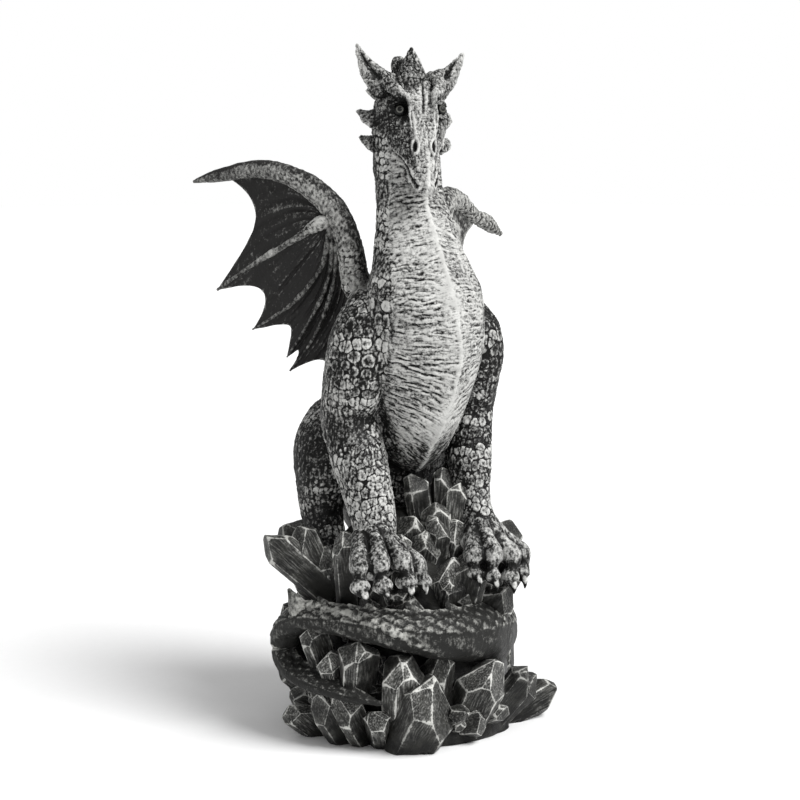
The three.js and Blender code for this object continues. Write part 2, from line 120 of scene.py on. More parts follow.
class Level:
    """A value that changes over a surface. Arithmetic on it adds Math nodes to its material."""

    def __init__(self, finish, socket):
        self.finish = finish
        self.socket = socket

    def maths(self, operation, first, second):
        return self.finish.node("ShaderNodeMath", {"operation": operation}, {0: first, 1: second})

    def __add__(self, other):
        return self.maths("ADD", self, other)

    def __radd__(self, other):
        return self.maths("ADD", other, self)

    def __sub__(self, other):
        return self.maths("SUBTRACT", self, other)

    def __rsub__(self, other):
        return self.maths("SUBTRACT", other, self)

    def __mul__(self, other):
        return self.maths("MULTIPLY", self, other)

    def __rmul__(self, other):
        return self.maths("MULTIPLY", other, self)

    def eased(self, low, high):
        """0 below low and 1 above high, with a smooth step between them."""
        return self.finish.node(
            "ShaderNodeMapRange",
            {"interpolation_type": "SMOOTHSTEP"},
            {"Value": self, "From Min": low, "From Max": high},
        )


class Finish:
    """A material, built node by node on its own Principled shader."""

    def __init__(self, name):
        self.material = bpy.data.materials.new(name)
        self.material.use_nodes = True
        self.tree = self.material.node_tree
        self.shader = self.tree.nodes["Principled BSDF"]

    def put(self, socket, value):
        """Links a level to a socket, or sets a plain value on it."""
        if isinstance(value, Level):
            self.tree.links.new(value.socket, socket)
        else:
            socket.default_value = value

    def paint(self, **looks):
        """Feeds the shader's own sockets, named with underscores for spaces."""
        for name, value in looks.items():
            self.put(self.shader.inputs[name.replace("_", " ")], value)

    def node(self, kind, settings, sockets, output=0):
        """A node of a kind: its settings first, then the values or links of its sockets."""
        made = self.tree.nodes.new(kind)
        for name, value in settings.items():
            setattr(made, name, value)
        for name, value in sockets.items():
            self.put(made.inputs[name], value)
        return Level(self, made.outputs[output])

    def at_point(self, field, output=2):
        """A number that the mesh holds at each point, or with output 1 a vector."""
        return self.node("ShaderNodeAttribute", {"attribute_name": field}, {}, output)

    def raised(self, height, depth):
        """Bumps of a height, as deep as the depth in metres."""
        return self.node("ShaderNodeBump", {}, {"Strength": 1.0, "Distance": depth, "Height": height})

    def mixed(self, share, first, second):
        """A colour between two colours."""
        return self.node("ShaderNodeMix", {"data_type": "RGBA"}, {0: share, 6: first, 7: second}, 2)

    def noise(self, scale, detail, stretch=(1, 1, 1), place=None):
        """Cloudy noise from 0 to 1, on the object's own coordinates unless a place is given, and
        stretched along each axis."""
        place = place or self.node("ShaderNodeTexCoord", {}, {}, 3)
        place = self.node("ShaderNodeVectorMath", {"operation": "MULTIPLY"}, {0: place, 1: stretch})
        return self.node("ShaderNodeTexNoise", {}, {"Vector": place, "Scale": scale, "Detail": detail})


FLOOR_RADIUS = 6.0
FLOOR_SIDES = 64
corner = np.linspace(0, 2 * np.pi, FLOOR_SIDES + 1)[:-1]
rim = np.stack([FLOOR_RADIUS * np.cos(corner), FLOOR_RADIUS * np.sin(corner), 0 * corner], axis=1)
sheet = bpy.data.meshes.new("floor")
sheet.from_pydata(rim.tolist(), [], [list(range(FLOOR_SIDES))])
floor = bpy.data.objects.new("floor", sheet)
bpy.context.scene.collection.objects.link(floor)
paper = Finish("pale_paper")
speck = paper.noise(120.0, 3.0)
paper.paint(Base_Color=paper.mixed(speck, (0.91, 0.91, 0.91, 1), (0.94, 0.94, 0.94, 1)), Roughness=0.9)
sheet.materials.append(paper.material)

# ---- dragon's body ----
# The belly, neck, haunches, legs and feet are one skin of the resin casting, modelled in clay with a
# pebbled hide and a folded belly before the mould was made. It is painted black and dry-brushed grey.
# Sizes are in millimetres until a mesh is made.
MM = 0.001


def curve(rows, t):
    """A smooth curve through rows of numbers, t from 0 to 1: a cubic between each two rows, whose
    slope at a row is half the step from the row before it to the row after it."""
    rows = np.asarray(rows, float)
    span = np.clip(t, 0, 1) * (len(rows) - 1)
    i = np.minimum(span.astype(int), len(rows) - 2)
    f = (span - i)[:, None]
    a, b = rows[i], rows[i + 1]
    into = (b - rows[np.maximum(i - 1, 0)]) / 2
    out = (rows[np.minimum(i + 2, len(rows) - 1)] - a) / 2
    return a + f * (into + f * (3 * (b - a) - 2 * into - out + f * (2 * (a - b) + into + out)))


def unit(vectors):
    """Vectors scaled to a length of 1."""
    return vectors / np.maximum(np.linalg.norm(vectors, axis=-1, keepdims=True), 1e-9)


def fade(value, low, high):
    """A smooth step: 0 at low, 1 at high, which may be the smaller of the two."""
    f = np.clip((value - low) / (high - low), 0, 1)
    return f * f * (3 - 2 * f)


def hump(distance, width):
    """A bell curve: 1 where the distance is 0, and 0.37 where it is the width."""
    return np.exp(-((distance / width) ** 2))


def within(value, start, full, end, nought):
    """1 from full to end, with a smooth step up from start and one down to nought."""
    return fade(value, start, full) * fade(value, nought, end)


def tube_faces(rings, around):
    """Triangles of a closed tube whose points are a pole, its rings in order, and another pole."""
    ring, step = np.meshgrid(np.arange(rings - 1), np.arange(around), indexing="ij")
    low = 1 + ring * around + step
    low_next = 1 + ring * around + (step + 1) % around
    start = np.arange(around)
    beside = (start + 1) % around
    end = 1 + (rings - 1) * around
    return np.concatenate([
        np.stack([0 * start, 1 + beside, 1 + start], -1),
        np.stack([low, low_next, low_next + around], -1).reshape(-1, 3),
        np.stack([low, low_next + around, low + around], -1).reshape(-1, 3),
        np.stack([0 * start + end + around, end + start, end + beside], -1),
    ])


def outward(points, triangles):
    """A shell with its faces turned outward, by the sign of the volume that they close."""
    a, b, c = (points[triangles[:, k]] for k in range(3))
    volume = (a * np.cross(b, c)).sum()
    return points, triangles if volume > 0 else triangles[:, ::-1]


def swept(stations, around=40, rings=48, facing=(0, -1, 0), relief=None):
    """A tube carried along a smooth curve, closed by a half dome at either end. A station is x, y, z,
    half-width and half-depth, and depth is measured along `facing`. A point is the curve's point, plus
    width times cosine across, plus depth times sine outward. `relief` may add to the radius."""
    t = np.linspace(0, 1, rings)
    row = curve(stations, t)
    ahead = unit(curve(stations, np.minimum(t + 0.01, 1))[:, :3] - curve(stations, t - 0.01)[:, :3])
    across = unit(np.cross(ahead, facing))
    out = np.cross(across, ahead)
    dome = np.linspace(0, np.pi / 2, 6)[1:-1]
    first_dome = 0.6 * min(row[0, 3:5])
    last_dome = 0.6 * min(row[-1, 3:5])
    centre = np.concatenate([
        row[0, :3] - first_dome * ahead[0] * np.sin(dome[::-1])[:, None],
        row[:, :3],
        row[-1, :3] + last_dome * ahead[-1] * np.sin(dome)[:, None],
    ])
    size = np.concatenate([np.cos(dome[::-1]), np.ones(rings), np.cos(dome)])[:, None]
    pick = np.concatenate([np.zeros(len(dome), int), np.arange(rings), np.full(len(dome), rings - 1)])
    angle = np.linspace(0, 2 * np.pi, around + 1)[None, :-1]
    extra = 0 if relief is None else relief(t[pick][:, None], angle)
    width = (row[pick, 3][:, None] + extra) * size * np.cos(angle)
    depth = (row[pick, 4][:, None] + extra) * size * np.sin(angle)
    ring = centre[:, None] + across[pick][:, None] * width[..., None]
    ring = ring + out[pick][:, None] * depth[..., None]
    poles = row[0, :3] - first_dome * ahead[0], row[-1, :3] + last_dome * ahead[-1]
    points = np.concatenate([poles[0][None], ring.reshape(-1, 3), poles[1][None]])
    return outward(points, tube_faces(len(pick), around))


def horned(foot, tip, width, depth, bend=(0, 0, 0), facing=(0, -1, 0), around=24, rings=20):
    """A spike or claw: a bent cone, its middle moved by `bend`, from a broad foot to a blunt point."""
    foot, tip = np.array(foot, float), np.array(tip, float)
    middle = 0.5 * (foot + tip) + np.array(bend, float)
    stations = [
        [*foot, width, depth],
        [*middle, 0.62 * width, 0.62 * depth],
        [*tip, 0.14 * width, 0.14 * depth],
    ]
    return swept(stations, around, rings, facing)


def ball(centre, radii, around=40, rings=24):
    """An ellipsoid: rings of points at equal steps of dip from its lowest point to its highest."""
    dip = np.pi * np.arange(1, rings)[:, None] / rings
    angle = np.linspace(0, 2 * np.pi, around + 1)[None, :-1]
    grid = [np.sin(dip) * np.cos(angle), np.sin(dip) * np.sin(angle), -np.cos(dip) + 0 * angle]
    points = np.concatenate([[[0, 0, -1.0]], np.stack(grid, -1).reshape(-1, 3), [[0, 0, 1.0]]])
    return outward(np.array(centre) + points * np.array(radii), tube_faces(rings - 1, around))


def joined(shells):
    """Several shells as one list of points and one of triangles."""
    starts = np.cumsum([0] + [len(points) for points, _ in shells[:-1]])
    return (
        np.concatenate([points for points, _ in shells]),
        np.concatenate([triangles + start for (_, triangles), start in zip(shells, starts)]),
    )


def modelled(name, points, triangles, **fields):
    """A mesh object from points in millimetres, with a number or a vector at each point for
    every named field."""
    mesh = bpy.data.meshes.new(name)
    mesh.vertices.add(len(points))
    mesh.loops.add(3 * len(triangles))
    mesh.polygons.add(len(triangles))
    mesh.vertices.foreach_set("co", (points * MM).astype(np.float32).ravel())
    mesh.loops.foreach_set("vertex_index", triangles.astype(np.int32).ravel())
    mesh.polygons.foreach_set("loop_start", np.arange(0, 3 * len(triangles), 3, dtype=np.int32))
    mesh.update(calc_edges=True)
    mesh.shade_smooth()
    for field, values in fields.items():
        kind, part = ("FLOAT", "value") if values.ndim == 1 else ("FLOAT_VECTOR", "vector")
        layer = mesh.attributes.new(field, kind, "POINT")
        layer.data.foreach_set(part, values.astype(np.float32).ravel())
    made = bpy.data.objects.new(name, mesh)
    bpy.context.scene.collection.objects.link(made)
    return made


def modified(thing):
    """The object's mesh with its modifiers worked in."""
    return bpy.data.meshes.new_from_object(thing.evaluated_get(bpy.context.evaluated_depsgraph_get()))


def fused(shells, voxel):
    """One skin round overlapping shells: their mesh made again on a cubic grid of the voxel's size."""
    block = modelled("clay_block", *joined(shells))
    remake = block.modifiers.new("one_skin", "REMESH")
    remake.mode = "VOXEL"
    remake.voxel_size = voxel * MM
    skin = modified(block)
    skin.calc_loop_triangles()
    points = np.empty(3 * len(skin.vertices), np.float32)
    skin.vertices.foreach_get("co", points)
    triangles = np.empty(3 * len(skin.loop_triangles), np.int32)
    skin.loop_triangles.foreach_get("vertices", triangles)
    spare = block.data
    bpy.data.objects.remove(block)
    bpy.data.meshes.remove(spare)
    bpy.data.meshes.remove(skin)
    return points.reshape(-1, 3).astype(float) / MM, triangles.reshape(-1, 3)


def gathered(values, triangles, count):
    """The mean of each point's neighbours, of which each edge of a closed skin gives one."""
    start = triangles.ravel()
    end = triangles[:, [1, 2, 0]].ravel()
    many = np.maximum(np.bincount(start, minlength=count), 1)
    return np.stack([np.bincount(start, values[end, k], count) / many for k in range(3)], axis=1)


def relaxed(points, triangles, rounds, share=0.6):
    """Points moved toward the mean of their neighbours, a few rounds over."""
    for _ in range(rounds):
        points = points + share * (gathered(points, triangles, len(points)) - points)
    return points


def normals(points, triangles):
    """The direction out of the skin at each point: the sum of its triangles' cross products."""
    a, b, c = (points[triangles[:, k]] for k in range(3))
    cross = np.cross(b - a, c - a)
    total = sum(
        np.stack([np.bincount(triangles[:, k], cross[:, m], len(points)) for m in range(3)], axis=1)
        for k in range(3)
    )
    return unit(total)


chance = np.random.default_rng(11).random(4096)


def dice(cell, seed):
    """A repeatable number from 0 to 1 for each whole-number cell: primes mix it into a table's row."""
    mixed = cell[..., 0] * 73856093 ^ cell[..., 1] * 19349663 ^ cell[..., 2] * 83492791 ^ seed * 26544357
    return chance[(mixed ^ (mixed >> 12)) & 4095]


def cloud(points, size, seed=0):
    """Smooth noise from -1 to 1: dice at the corners of a lattice of `size`, blended by smooth steps."""
    scaled = points / size + 0.37
    cell = np.floor(scaled).astype(np.int64)
    f = scaled - cell
    f = f * f * (3 - 2 * f)
    total = 0
    for corner in np.ndindex(2, 2, 2):
        weight = np.prod(np.where(corner, f, 1 - f), axis=-1)
        total = total + weight * dice(cell + np.array(corner), seed)
    return 2 * total - 1


def clouds(points, size, octaves, seed=0):
    """Layers of noise, each half the size and half the height of the one before it."""
    return sum(cloud(points, size / 2 ** k, seed + 17 * k) / 2 ** k for k in range(octaves))


def pebbles(points, size, seed):
    """The cells of a pebbled hide. Each cube of `size` that the skin passes through gives one seed: the
    skin's point nearest to a random place in the cube. Of two seeds that lie too close, one goes. A
    point's depth in its pebble is how much further its second nearest seed is than its nearest.
    Returns, as shares of size, how far the nearest seed is and that depth, and a random number for
    the pebble."""

    def named(cell):
        """One whole number for a cube."""
        return ((cell[:, 0] + 4096) * 8192 + cell[:, 1] + 4096) * 8192 + cell[:, 2] + 4096

    cell = np.floor(points / size).astype(np.int64)
    place = np.stack([dice(cell, seed + k) for k in range(3)], axis=1)
    miss = ((points - (cell + 0.2 + 0.6 * place) * size) ** 2).sum(1)
    order = np.lexsort((miss, named(cell)))
    names, first = np.unique(named(cell)[order], return_index=True)
    seeds = points[order[first]]
    rank = chance[(names * 7919) & 4095]

    def around(asked, names, seeds):
        """For each of the 27 cubes about a point, its seed and how far that lies, 9 if it has none."""
        for step in np.ndindex(3, 3, 3):
            wanted = named(np.floor(asked / size).astype(np.int64) + np.array(step) - 1)
            found = np.minimum(np.searchsorted(names, wanted), len(names) - 1)
            gap = np.linalg.norm(asked - seeds[found], axis=1) / size
            yield found, np.where(names[found] == wanted, gap, 9.0)

    crowded = np.zeros(len(seeds), bool)
    for found, gap in around(seeds, names, seeds):
        crowded |= (gap > 0) & (gap < 0.62) & (rank > rank[found])
    names, seeds = names[~crowded], seeds[~crowded]
    nearest = np.full(len(points), 9.0)
    second = np.full(len(points), 9.0)
    own = np.zeros(len(points), int)
    for found, gap in around(points, names, seeds):
        own = np.where(gap < nearest, found, own)
        second = np.minimum(second, np.maximum(gap, nearest))
        nearest = np.minimum(nearest, gap)
    return nearest, second - nearest, chance[(names[own] * 31) & 4095]


def nearness(points, stations, steps=40):
    """How far each point is from a curve's line, as a share of the curve's own half-width there."""
    row = curve(stations, np.linspace(0, 1, steps))
    best = np.full(len(points), 1e9)
    for x, y, z, width, depth in row:
        gap = np.linalg.norm(points - np.array([x, y, z]), axis=1)
        best = np.minimum(best, gap / (0.5 * (width + depth)))
    return best


def thinned(thing, most):
    """Leaves a piece no more than this many triangles, the flattest places giving up theirs first."""
    count = len(thing.data.polygons)
    if count > most:
        fewer = thing.modifiers.new("fewer", "DECIMATE")
        fewer.ratio = most / count
        fine = thing.data
        thing.data = modified(thing)
        thing.modifiers.clear()
        bpy.data.meshes.remove(fine)
        thing.data.shade_smooth()


# each level of the trunk: height, the front, middle and back of its outline, and its half-width
TRUNK_LEVELS = [
    [228, -18, -4, 40, 8], [240, -34, 0, 74, 25], [255, -45, 5, 84, 35], [271, -57, 6, 84, 40],
    [298, -66, -2, 78, 49], [334, -75, -12, 66, 56], [360, -77, -18, 48, 55],
    [388, -73, -26, 24, 50], [425, -50, -18, 19, 39], [466, -25, -3, 28, 31], [502, -22, 5, 36, 29],
    [535, -14, 8, 32, 27],
]
# the belly's ridge: at each height, how far it lies to the dragon's left round the body, in radians,
# and how far round the folded skin reaches either side of the front
KEEL = np.array([
    [228, -0.14, 0.70], [255, -0.08, 0.80], [272, -0.02, 0.92], [298, 0.11, 1.00], [334, 0.17, 0.88],
    [368, 0.09, 0.88], [400, 0.06, 1.00], [437, 0.07, 1.12], [470, 0.08, 1.00], [535, 0.06, 0.90],
])
KEEL_HEIGHT = 0.05
KEEL_WIDTH = 0.2


def keel_at(height):
    """The ridge's way round and the folded skin's reach, between the rows of the table."""
    return np.interp(height, KEEL[:, 0], KEEL[:, 1]), np.interp(height, KEEL[:, 0], KEEL[:, 2])


def trunk():
    """Rings of the trunk: half-width times sine across, depth times cosine to the front or back."""
    rings = 120
    around = 120
    row = curve(TRUNK_LEVELS, np.linspace(0, 1, rings))
    height, front, middle, back, half = (row[:, k][:, None] for k in range(5))
    angle = np.linspace(0, 2 * np.pi, around + 1)[None, :-1]
    turned = (angle - keel_at(height)[0] + np.pi) % (2 * np.pi) - np.pi
    keel = 1 + KEEL_HEIGHT * hump(turned, KEEL_WIDTH)
    ahead = np.cos(angle)
    depth = np.where(ahead > 0, (middle - front) * keel, back - middle)
    ring = np.stack([half * np.sin(angle), middle - depth * ahead, height + 0 * angle], -1)
    points = np.concatenate([[[0, 6, 222]], ring.reshape(-1, 3), [[0, 8, 540]]])
    return outward(points, tube_faces(rings, around))


# stations of each limb: x, y, z, half-width and half-depth
HIND_LEG = [
    [40, 62, 262, 28, 40], [56, 46, 246, 30, 40], [68, 34, 222, 26, 30], [72, 32, 196, 19, 22],
    [72, 24, 174, 17, 18], [74, 2, 154, 20, 12],
]
RIGHT_FORELEG = [
    [-34, 2, 372, 24, 26], [-48, -10, 348, 30, 32], [-58, -8, 312, 26, 32], [-62, -6, 276, 24, 25],
    [-60, -24, 240, 23, 24], [-58, -40, 206, 19, 20], [-60, -52, 180, 18, 19],
    [-65, -62, 162, 24, 16],
]
LEFT_FORELEG = [
    [34, 2, 372, 22, 26], [52, -14, 344, 27, 30], [56, -10, 308, 22, 28], [56, -6, 276, 20, 24],
    [47, -24, 240, 18, 21], [40, -42, 206, 15, 18], [38, -54, 188, 15, 18], [39, -66, 174, 23, 16],
]
# toes, each from the wrist over a knuckle and a waist to a thick end: x, y, z, half-width, half-depth
RIGHT_TOES = [
    [[-80, -64, 186, 7, 7], [-88, -78, 179, 7, 7.5], [-93, -89, 167, 7.8, 8.6], [-94.5, -93, 158.5, 5.6, 6],
     [-96, -97, 151, 7, 7.4], [-96, -98, 146, 4, 5]],
    [[-72, -70, 192, 6, 6], [-74, -83, 181, 7, 8], [-77, -93, 168, 8.2, 9], [-77.5, -96, 159, 5.4, 6],
     [-76.5, -100, 150, 8, 8], [-76, -101, 145, 4.5, 5]],
    [[-64, -68, 190, 7, 7], [-59, -80, 179, 7.5, 8], [-55, -90, 168, 8.6, 9], [-51.5, -93, 159, 7, 7],
     [-52, -96, 150, 8, 8], [-52, -97, 145, 4.5, 5]],
    [[-54, -66, 182, 7, 7], [-46, -78, 172, 7.4, 7.6], [-38, -84, 161, 8, 8], [-33, -86, 152, 6.5, 6.5],
     [-32, -87, 146, 7, 7], [-33, -87, 142, 4, 4]],
]
LEFT_TOES = [
    [[30, -62, 186, 6, 6.5], [24, -74, 174, 6.4, 7], [19, -84, 163, 7.4, 7.8], [17, -88, 155, 5.4, 5.6],
     [17, -90, 149, 6.6, 6.6], [17, -91, 145, 4, 4]],
    [[35, -66, 188, 6, 6.5], [34.5, -79, 176, 6.6, 7.4], [34, -89, 162.5, 7.8, 8.4],
     [32.5, -92, 154, 5.4, 6], [31, -95, 146, 7.2, 7.4], [31, -96, 141, 4, 4.5]],
    [[44, -64, 184, 6.4, 7], [50, -76, 171, 6.8, 7.6], [55, -84, 159, 8, 8.4], [54.5, -88, 150, 5.8, 6.2],
     [51, -91, 142, 7.4, 7.6], [50, -92, 137, 4, 4.5]],
    [[52, -60, 180, 6.4, 7], [62, -69, 168, 7, 7.6], [70, -75, 158, 8, 8.2], [71, -79, 150, 6, 6.4],
     [67, -82, 142, 7.2, 7.4], [66, -83, 138, 4, 4]],
]
# how stout a toe is at each station: the knuckles full, the waists between them narrow
TOE_SHARES = np.array([1.1, 1.0, 1.22, 1.0, 1.18, 1.1])
claws = []


def forefoot(palm, toes):
    """A paw: a flat palm, and toes over the edge of the rock, each a tube with a short claw."""
    shells = [ball(palm, (20, 19, 12))]
    for stations in toes:
        stout = np.array(stations, float)
        stout[:, 3:] *= TOE_SHARES[:, None]
        shells.append(swept(stout, 36, 44, (0, -0.5, 1)))
        end = np.array(stations[-1][:3]) + (0, -3, 2)
        tip = end + (0, -5, -10)
        shells.append(horned(end, tip, 4.6, 4.6, (0, -2.5, 2)))
        claws.append([[*(end + (0, 0, -3)), 3.8, 3.8], [*tip, 2.8, 2.8]])
    return shells


WING_ROOT = {"side": 37, "back": 34, "height": 385}
WING_SWEEP = {-1: math.radians(45), 1: math.radians(50)}
# what the arm is glued to, in the wing's own frame
WING_STUMP = [
    [-46, -52, 6, 24, 20], [-28, -28, 0, 16, 16], [-6, -2, 0, 13, 13], [-1, 8, 1, 12.6, 12.6],
]


def wing_frame(side):
    """A wing's own frame: outward, up and toward the front, and the place of its root."""
    sweep = WING_SWEEP[side]
    outward_way = [side * math.cos(sweep), math.sin(sweep), 0]
    front_way = [side * math.sin(sweep), -math.cos(sweep), 0]
    root = np.array([side * WING_ROOT["side"], WING_ROOT["back"], WING_ROOT["height"]])
    return np.array([outward_way, [0, 0, 1], front_way], float), root


def placed(shell, axes, origin):
    """A shell moved from a frame of its own: each coordinate times its axis, plus the origin."""
    points, triangles = shell
    return outward(points @ axes + origin, triangles)


body_shells = [trunk(), ball((0, 48, 236), (58, 48, 70), 60, 40)]
foreleg_shells = [swept(RIGHT_FORELEG, 60, 70), swept(LEFT_FORELEG, 60, 70)]
foreleg_shells += forefoot((-68, -66, 160), RIGHT_TOES) + forefoot((42, -66, 168), LEFT_TOES)
for side in (-1, 1):
    leg = [[side * x, *rest] for x, *rest in HIND_LEG]
    body_shells.append(swept(leg, 60, 50, (0, -1, 0.2)))
    for spread in (-1, 0, 1):
        foot = (side * 74 + 11 * spread, 4, 152)
        tip = (side * 74 + 15 * spread, -22, 140)
        body_shells.append(horned(foot, tip, 9, 8, (0, 0, 5), (0, 0, 1)))
    body_shells.append(placed(swept(WING_STUMP, 40, 30, (0, 0, 1)), *wing_frame(side)))
SPINE_SPIKES = 9
for i in range(SPINE_SPIKES):
    level = curve(TRUNK_LEVELS, np.array([0.94 - 0.86 * i / (SPINE_SPIKES - 1)]))[0]
    size = 10 - 0.3 * abs(i - 5)
    foot = (0, level[3] - 5, level[0] + 2)
    tip = (0, level[3] + 1.5 * size, level[0] + 7)
    body_shells.append(horned(foot, tip, 0.4 * size, size, facing=(0, 0, 1)))


def rosettes(points, size, seed, dish=0.2):
    """Round pebbles of mixed sizes in the hide, each a step up to a rim round a dished middle, with a
    thin joint round it. Gives their height, where they are, and a number for each."""
    near, gap, own = pebbles(points, size, seed)
    reach = 0.46 + 0.16 * own
    inside = fade(near, reach, reach - 0.1) * fade(gap, 0.02, 0.12)
    middle = hump(near, 0.55 * reach)
    joint = hump(near - reach - 0.02, 0.06) * (1 - inside)
    return inside * (1 - dish * middle) - 0.5 * joint, inside, (own * 7.3) % 1


def fibres(points, seed, fine=2.2, long=7.0):
    """Rough strokes drawn out in height, their lattice bent by a slower noise."""
    drawn = points / np.array([fine, fine, long])
    bend = cloud(points, 14, seed + 1)[:, None] * np.array([1.2, -0.9, 0.9])
    return cloud(drawn + bend, 1.0, seed) + 0.5 * cloud(2 * drawn + bend, 1.0, seed + 2)


def line_gap(points, line):
    """How far each point is from a chain of straight pieces."""
    best = np.full(len(points), 1e9)
    for start, end in zip(line[:-1], line[1:]):
        step = end - start
        share = np.clip(((points - start) @ step) / (step @ step), 0, 1)
        best = np.minimum(best, np.linalg.norm(points - start - share[:, None] * step, axis=1))
    return best


def proud_of(points, triangles, out, rounds):
    """How far each point stands out from the skin smoothed by so many rounds."""
    return ((points - relaxed(points, triangles, rounds)) * out).sum(1)


def brushed(lifted, amount):
    """How much light paint a dry brush leaves: more on what stands up, and more where it went over
    more often."""
    return np.clip(0.5 + 1.1 * lifted + 1.3 * (amount - 0.5), 0, 1)


# hollows that the skin falls into, darkened with painted shade: a line from one end to the other, its width
# and its depth
HOLLOWS = [
    ((-90, -40, 318), (-66, -44, 312), 5, 3.2),
    ((-66, -46, 315), (-53, -50, 330), 4, 2.6),
    ((-86, -42, 290), (-64, -44, 276), 10, 3.6),
    ((-54, -50, 326), (-50, -46, 276), 6, 3.0),
]
SMALL_PEBBLE = 6.2
ROUND_PEBBLE = 8.6
BROAD_PEBBLE = 11.0
trunk_line = curve(TRUNK_LEVELS, np.linspace(0, 1, 500))


def worked_hide(points, triangles, limb):
    """The folds of the belly and the pebbles and strokes of the hide, worked into a smooth skin. Gives
    the new points and what the paint needs: its amount, the belly's share, and the belly's own
    coordinates, across it from the ridge and up it along the folds."""
    out = normals(points, triangles)
    x, y, height = points.T
    front, middle, back, half = (np.interp(height, trunk_line[:, 0], trunk_line[:, k]) for k in range(1, 5))
    depth = np.where(y < middle, middle - front, back - middle)
    around = np.arctan2(x / half, (middle - y) / depth)
    ratio = np.hypot(x / half, (middle - y) / depth)
    keel_way, reach = keel_at(height)
    on_trunk = fade(ratio, 1.16, 1.06) * fade(height, 224, 236) * (not limb)
    belly = on_trunk * fade(np.abs(around), reach + 0.16, reach - 0.08)
    from_keel = (around - keel_way) * half

    # the belly's folds: broken strokes across it in two sizes, drooping toward the ridge low down and
    # rising toward it on the chest
    slope = np.interp(height, [250, 300, 360, 430, 500], [-0.8, -0.4, 0.0, 0.2, 0.12])
    drawn = height + slope * np.abs(from_keel) + 1.7 * cloud(points, 15, 3) + 0.8 * cloud(points, 6, 4)

    def stroked(long, wide, seed):
        """Grooves where a noise drawn out across the belly falls low."""
        return cloud(np.stack([from_keel / long, drawn / wide, 0 * height], axis=1), 1.0, seed)

    band = hump(from_keel, 8)
    ridge = hump(from_keel, 1.9)
    right_of_ridge = fade(from_keel, 2, 9)
    deep = fade(stroked(11, 2.8, 5), -0.1, -0.6) * (1 - 0.5 * right_of_ridge)
    fine = fade(stroked(7, 1.9, 6), 0.0, -0.6)
    hair = stroked(5, 1.25, 7)
    throat = fade(height, 470, 510)
    belly_relief = -1.15 * deep * (1 - 0.75 * band) * (1 - 0.7 * throat)
    belly_relief += -0.7 * fine * (1 - 0.5 * band) + 0.3 * hair
    belly_relief += 0.8 * ridge * (1 - 0.8 * throat) + 0.4 * cloud(points, 2.4, 9)

    # round pebbles: small ones over the hide, larger ones in clusters on the legs, broad ones by the
    # belly
    legs = np.minimum(nearness(points, RIGHT_FORELEG), nearness(points, LEFT_FORELEG))
    on_legs = fade(legs, 1.5, 1.25) * limb
    on_plates = on_trunk * fade(np.abs(around), reach + 0.02, reach + 0.1) * (1 - belly)
    on_plates *= fade(np.abs(around), reach + 0.75, reach + 0.5) * within(height, 285, 305, 396, 412)
    on_plates = np.maximum(on_plates, on_legs * fade(height, 312, 324) * fade(y, 0, -14))
    on_paws = limb * fade(height, 200, 182)
    patchy = fade(cloud(points, 26, 33), -0.35, 0.15)
    small_high, small_in, small_own = rosettes(points, SMALL_PEBBLE, 21)
    round_high, round_in, round_own = rosettes(points, ROUND_PEBBLE, 22)
    broad_high, broad_in, broad_own = rosettes(points, BROAD_PEBBLE, 23, 0.3)
    round_share = on_legs * (1 - on_plates) * patchy * (1 - on_paws)
    small_share = (1 - on_plates) * (1 - round_share) * (0.3 + 0.7 * fade(cloud(points, 20, 34), -0.3, 0.3))
    small_share *= 1 - 0.85 * on_paws
    pebble_high = 1.0 * broad_high * on_plates + 0.95 * round_high * round_share
    pebble_high += 0.7 * small_high * small_share
    pebble_in = broad_in * on_plates + round_in * round_share + 0.5 * small_in * small_share
    pebble_own = broad_own * on_plates + round_own * round_share + small_own * small_share
    rough = (0.36 * fibres(points, 35) + 0.34 * cloud(points, 2.0, 31)) * (1 - 0.5 * on_paws)
    claw = np.min([nearness(points, line, 12) for line in claws], axis=0)
    on_claw = fade(claw, 1.7, 1.25) * limb
    hollow = 0 * height
    for start, end, width, deep_by in HOLLOWS:
        there = hump(line_gap(points, np.array([start, end], float)), width) * (1 - belly)
        hollow = np.maximum(hollow, there * deep_by)
    hide = (pebble_high + rough) * (1 - on_claw) + 0.9 * clouds(points, 22, 2, 32) - hollow
    relief = belly * belly_relief + (1 - belly) * hide
    points = points + relief[:, None] * out
    lifted = proud_of(points, triangles, out, 7)
    amount = 0.19 + 0.17 * fade(height, 290, 330) * fade(y, 22, -8) + 0.08 * cloud(points, 16, 36)
    amount = amount * (1 - on_legs) + (0.32 + 0.1 * cloud(points, 16, 36)) * on_legs
    broad = proud_of(points, triangles, out, 30)
    amount += (0.03 + 0.16 * np.clip(broad, -2, 1.2)) * on_paws
    amount += pebble_in * ((0.4 + 0.34 * (1 - on_legs)) * pebble_own - 0.16)
    # painted shade in the hollows
    amount -= 0.1 * hollow + 0.05 * on_plates
    amount -= 0.75 * on_claw
    # painted shade: the left foreleg darker than the right
    amount += 0.08 * on_legs * fade(height, 245, 205) - 0.12 * on_legs * fade(x, 0, 30)
    on_belly = 0.57 + 0.12 * band + 0.15 * ridge * (1 - throat) + 0.14 * cloud(points, 18, 37)
    # painted shade low on the belly, where it turns under, and just below the jaw; a little darker up the
    # throat
    on_belly -= 0.3 * fade(height, 268, 240) + 0.09 * fade(height, 440, 480) + 0.1 * fade(height, 505, 530)
    amount = amount * (1 - belly) + on_belly * belly
    lifted *= 0.8 - 0.6 * on_claw
    return points, brushed(lifted, amount), belly, from_keel, drawn


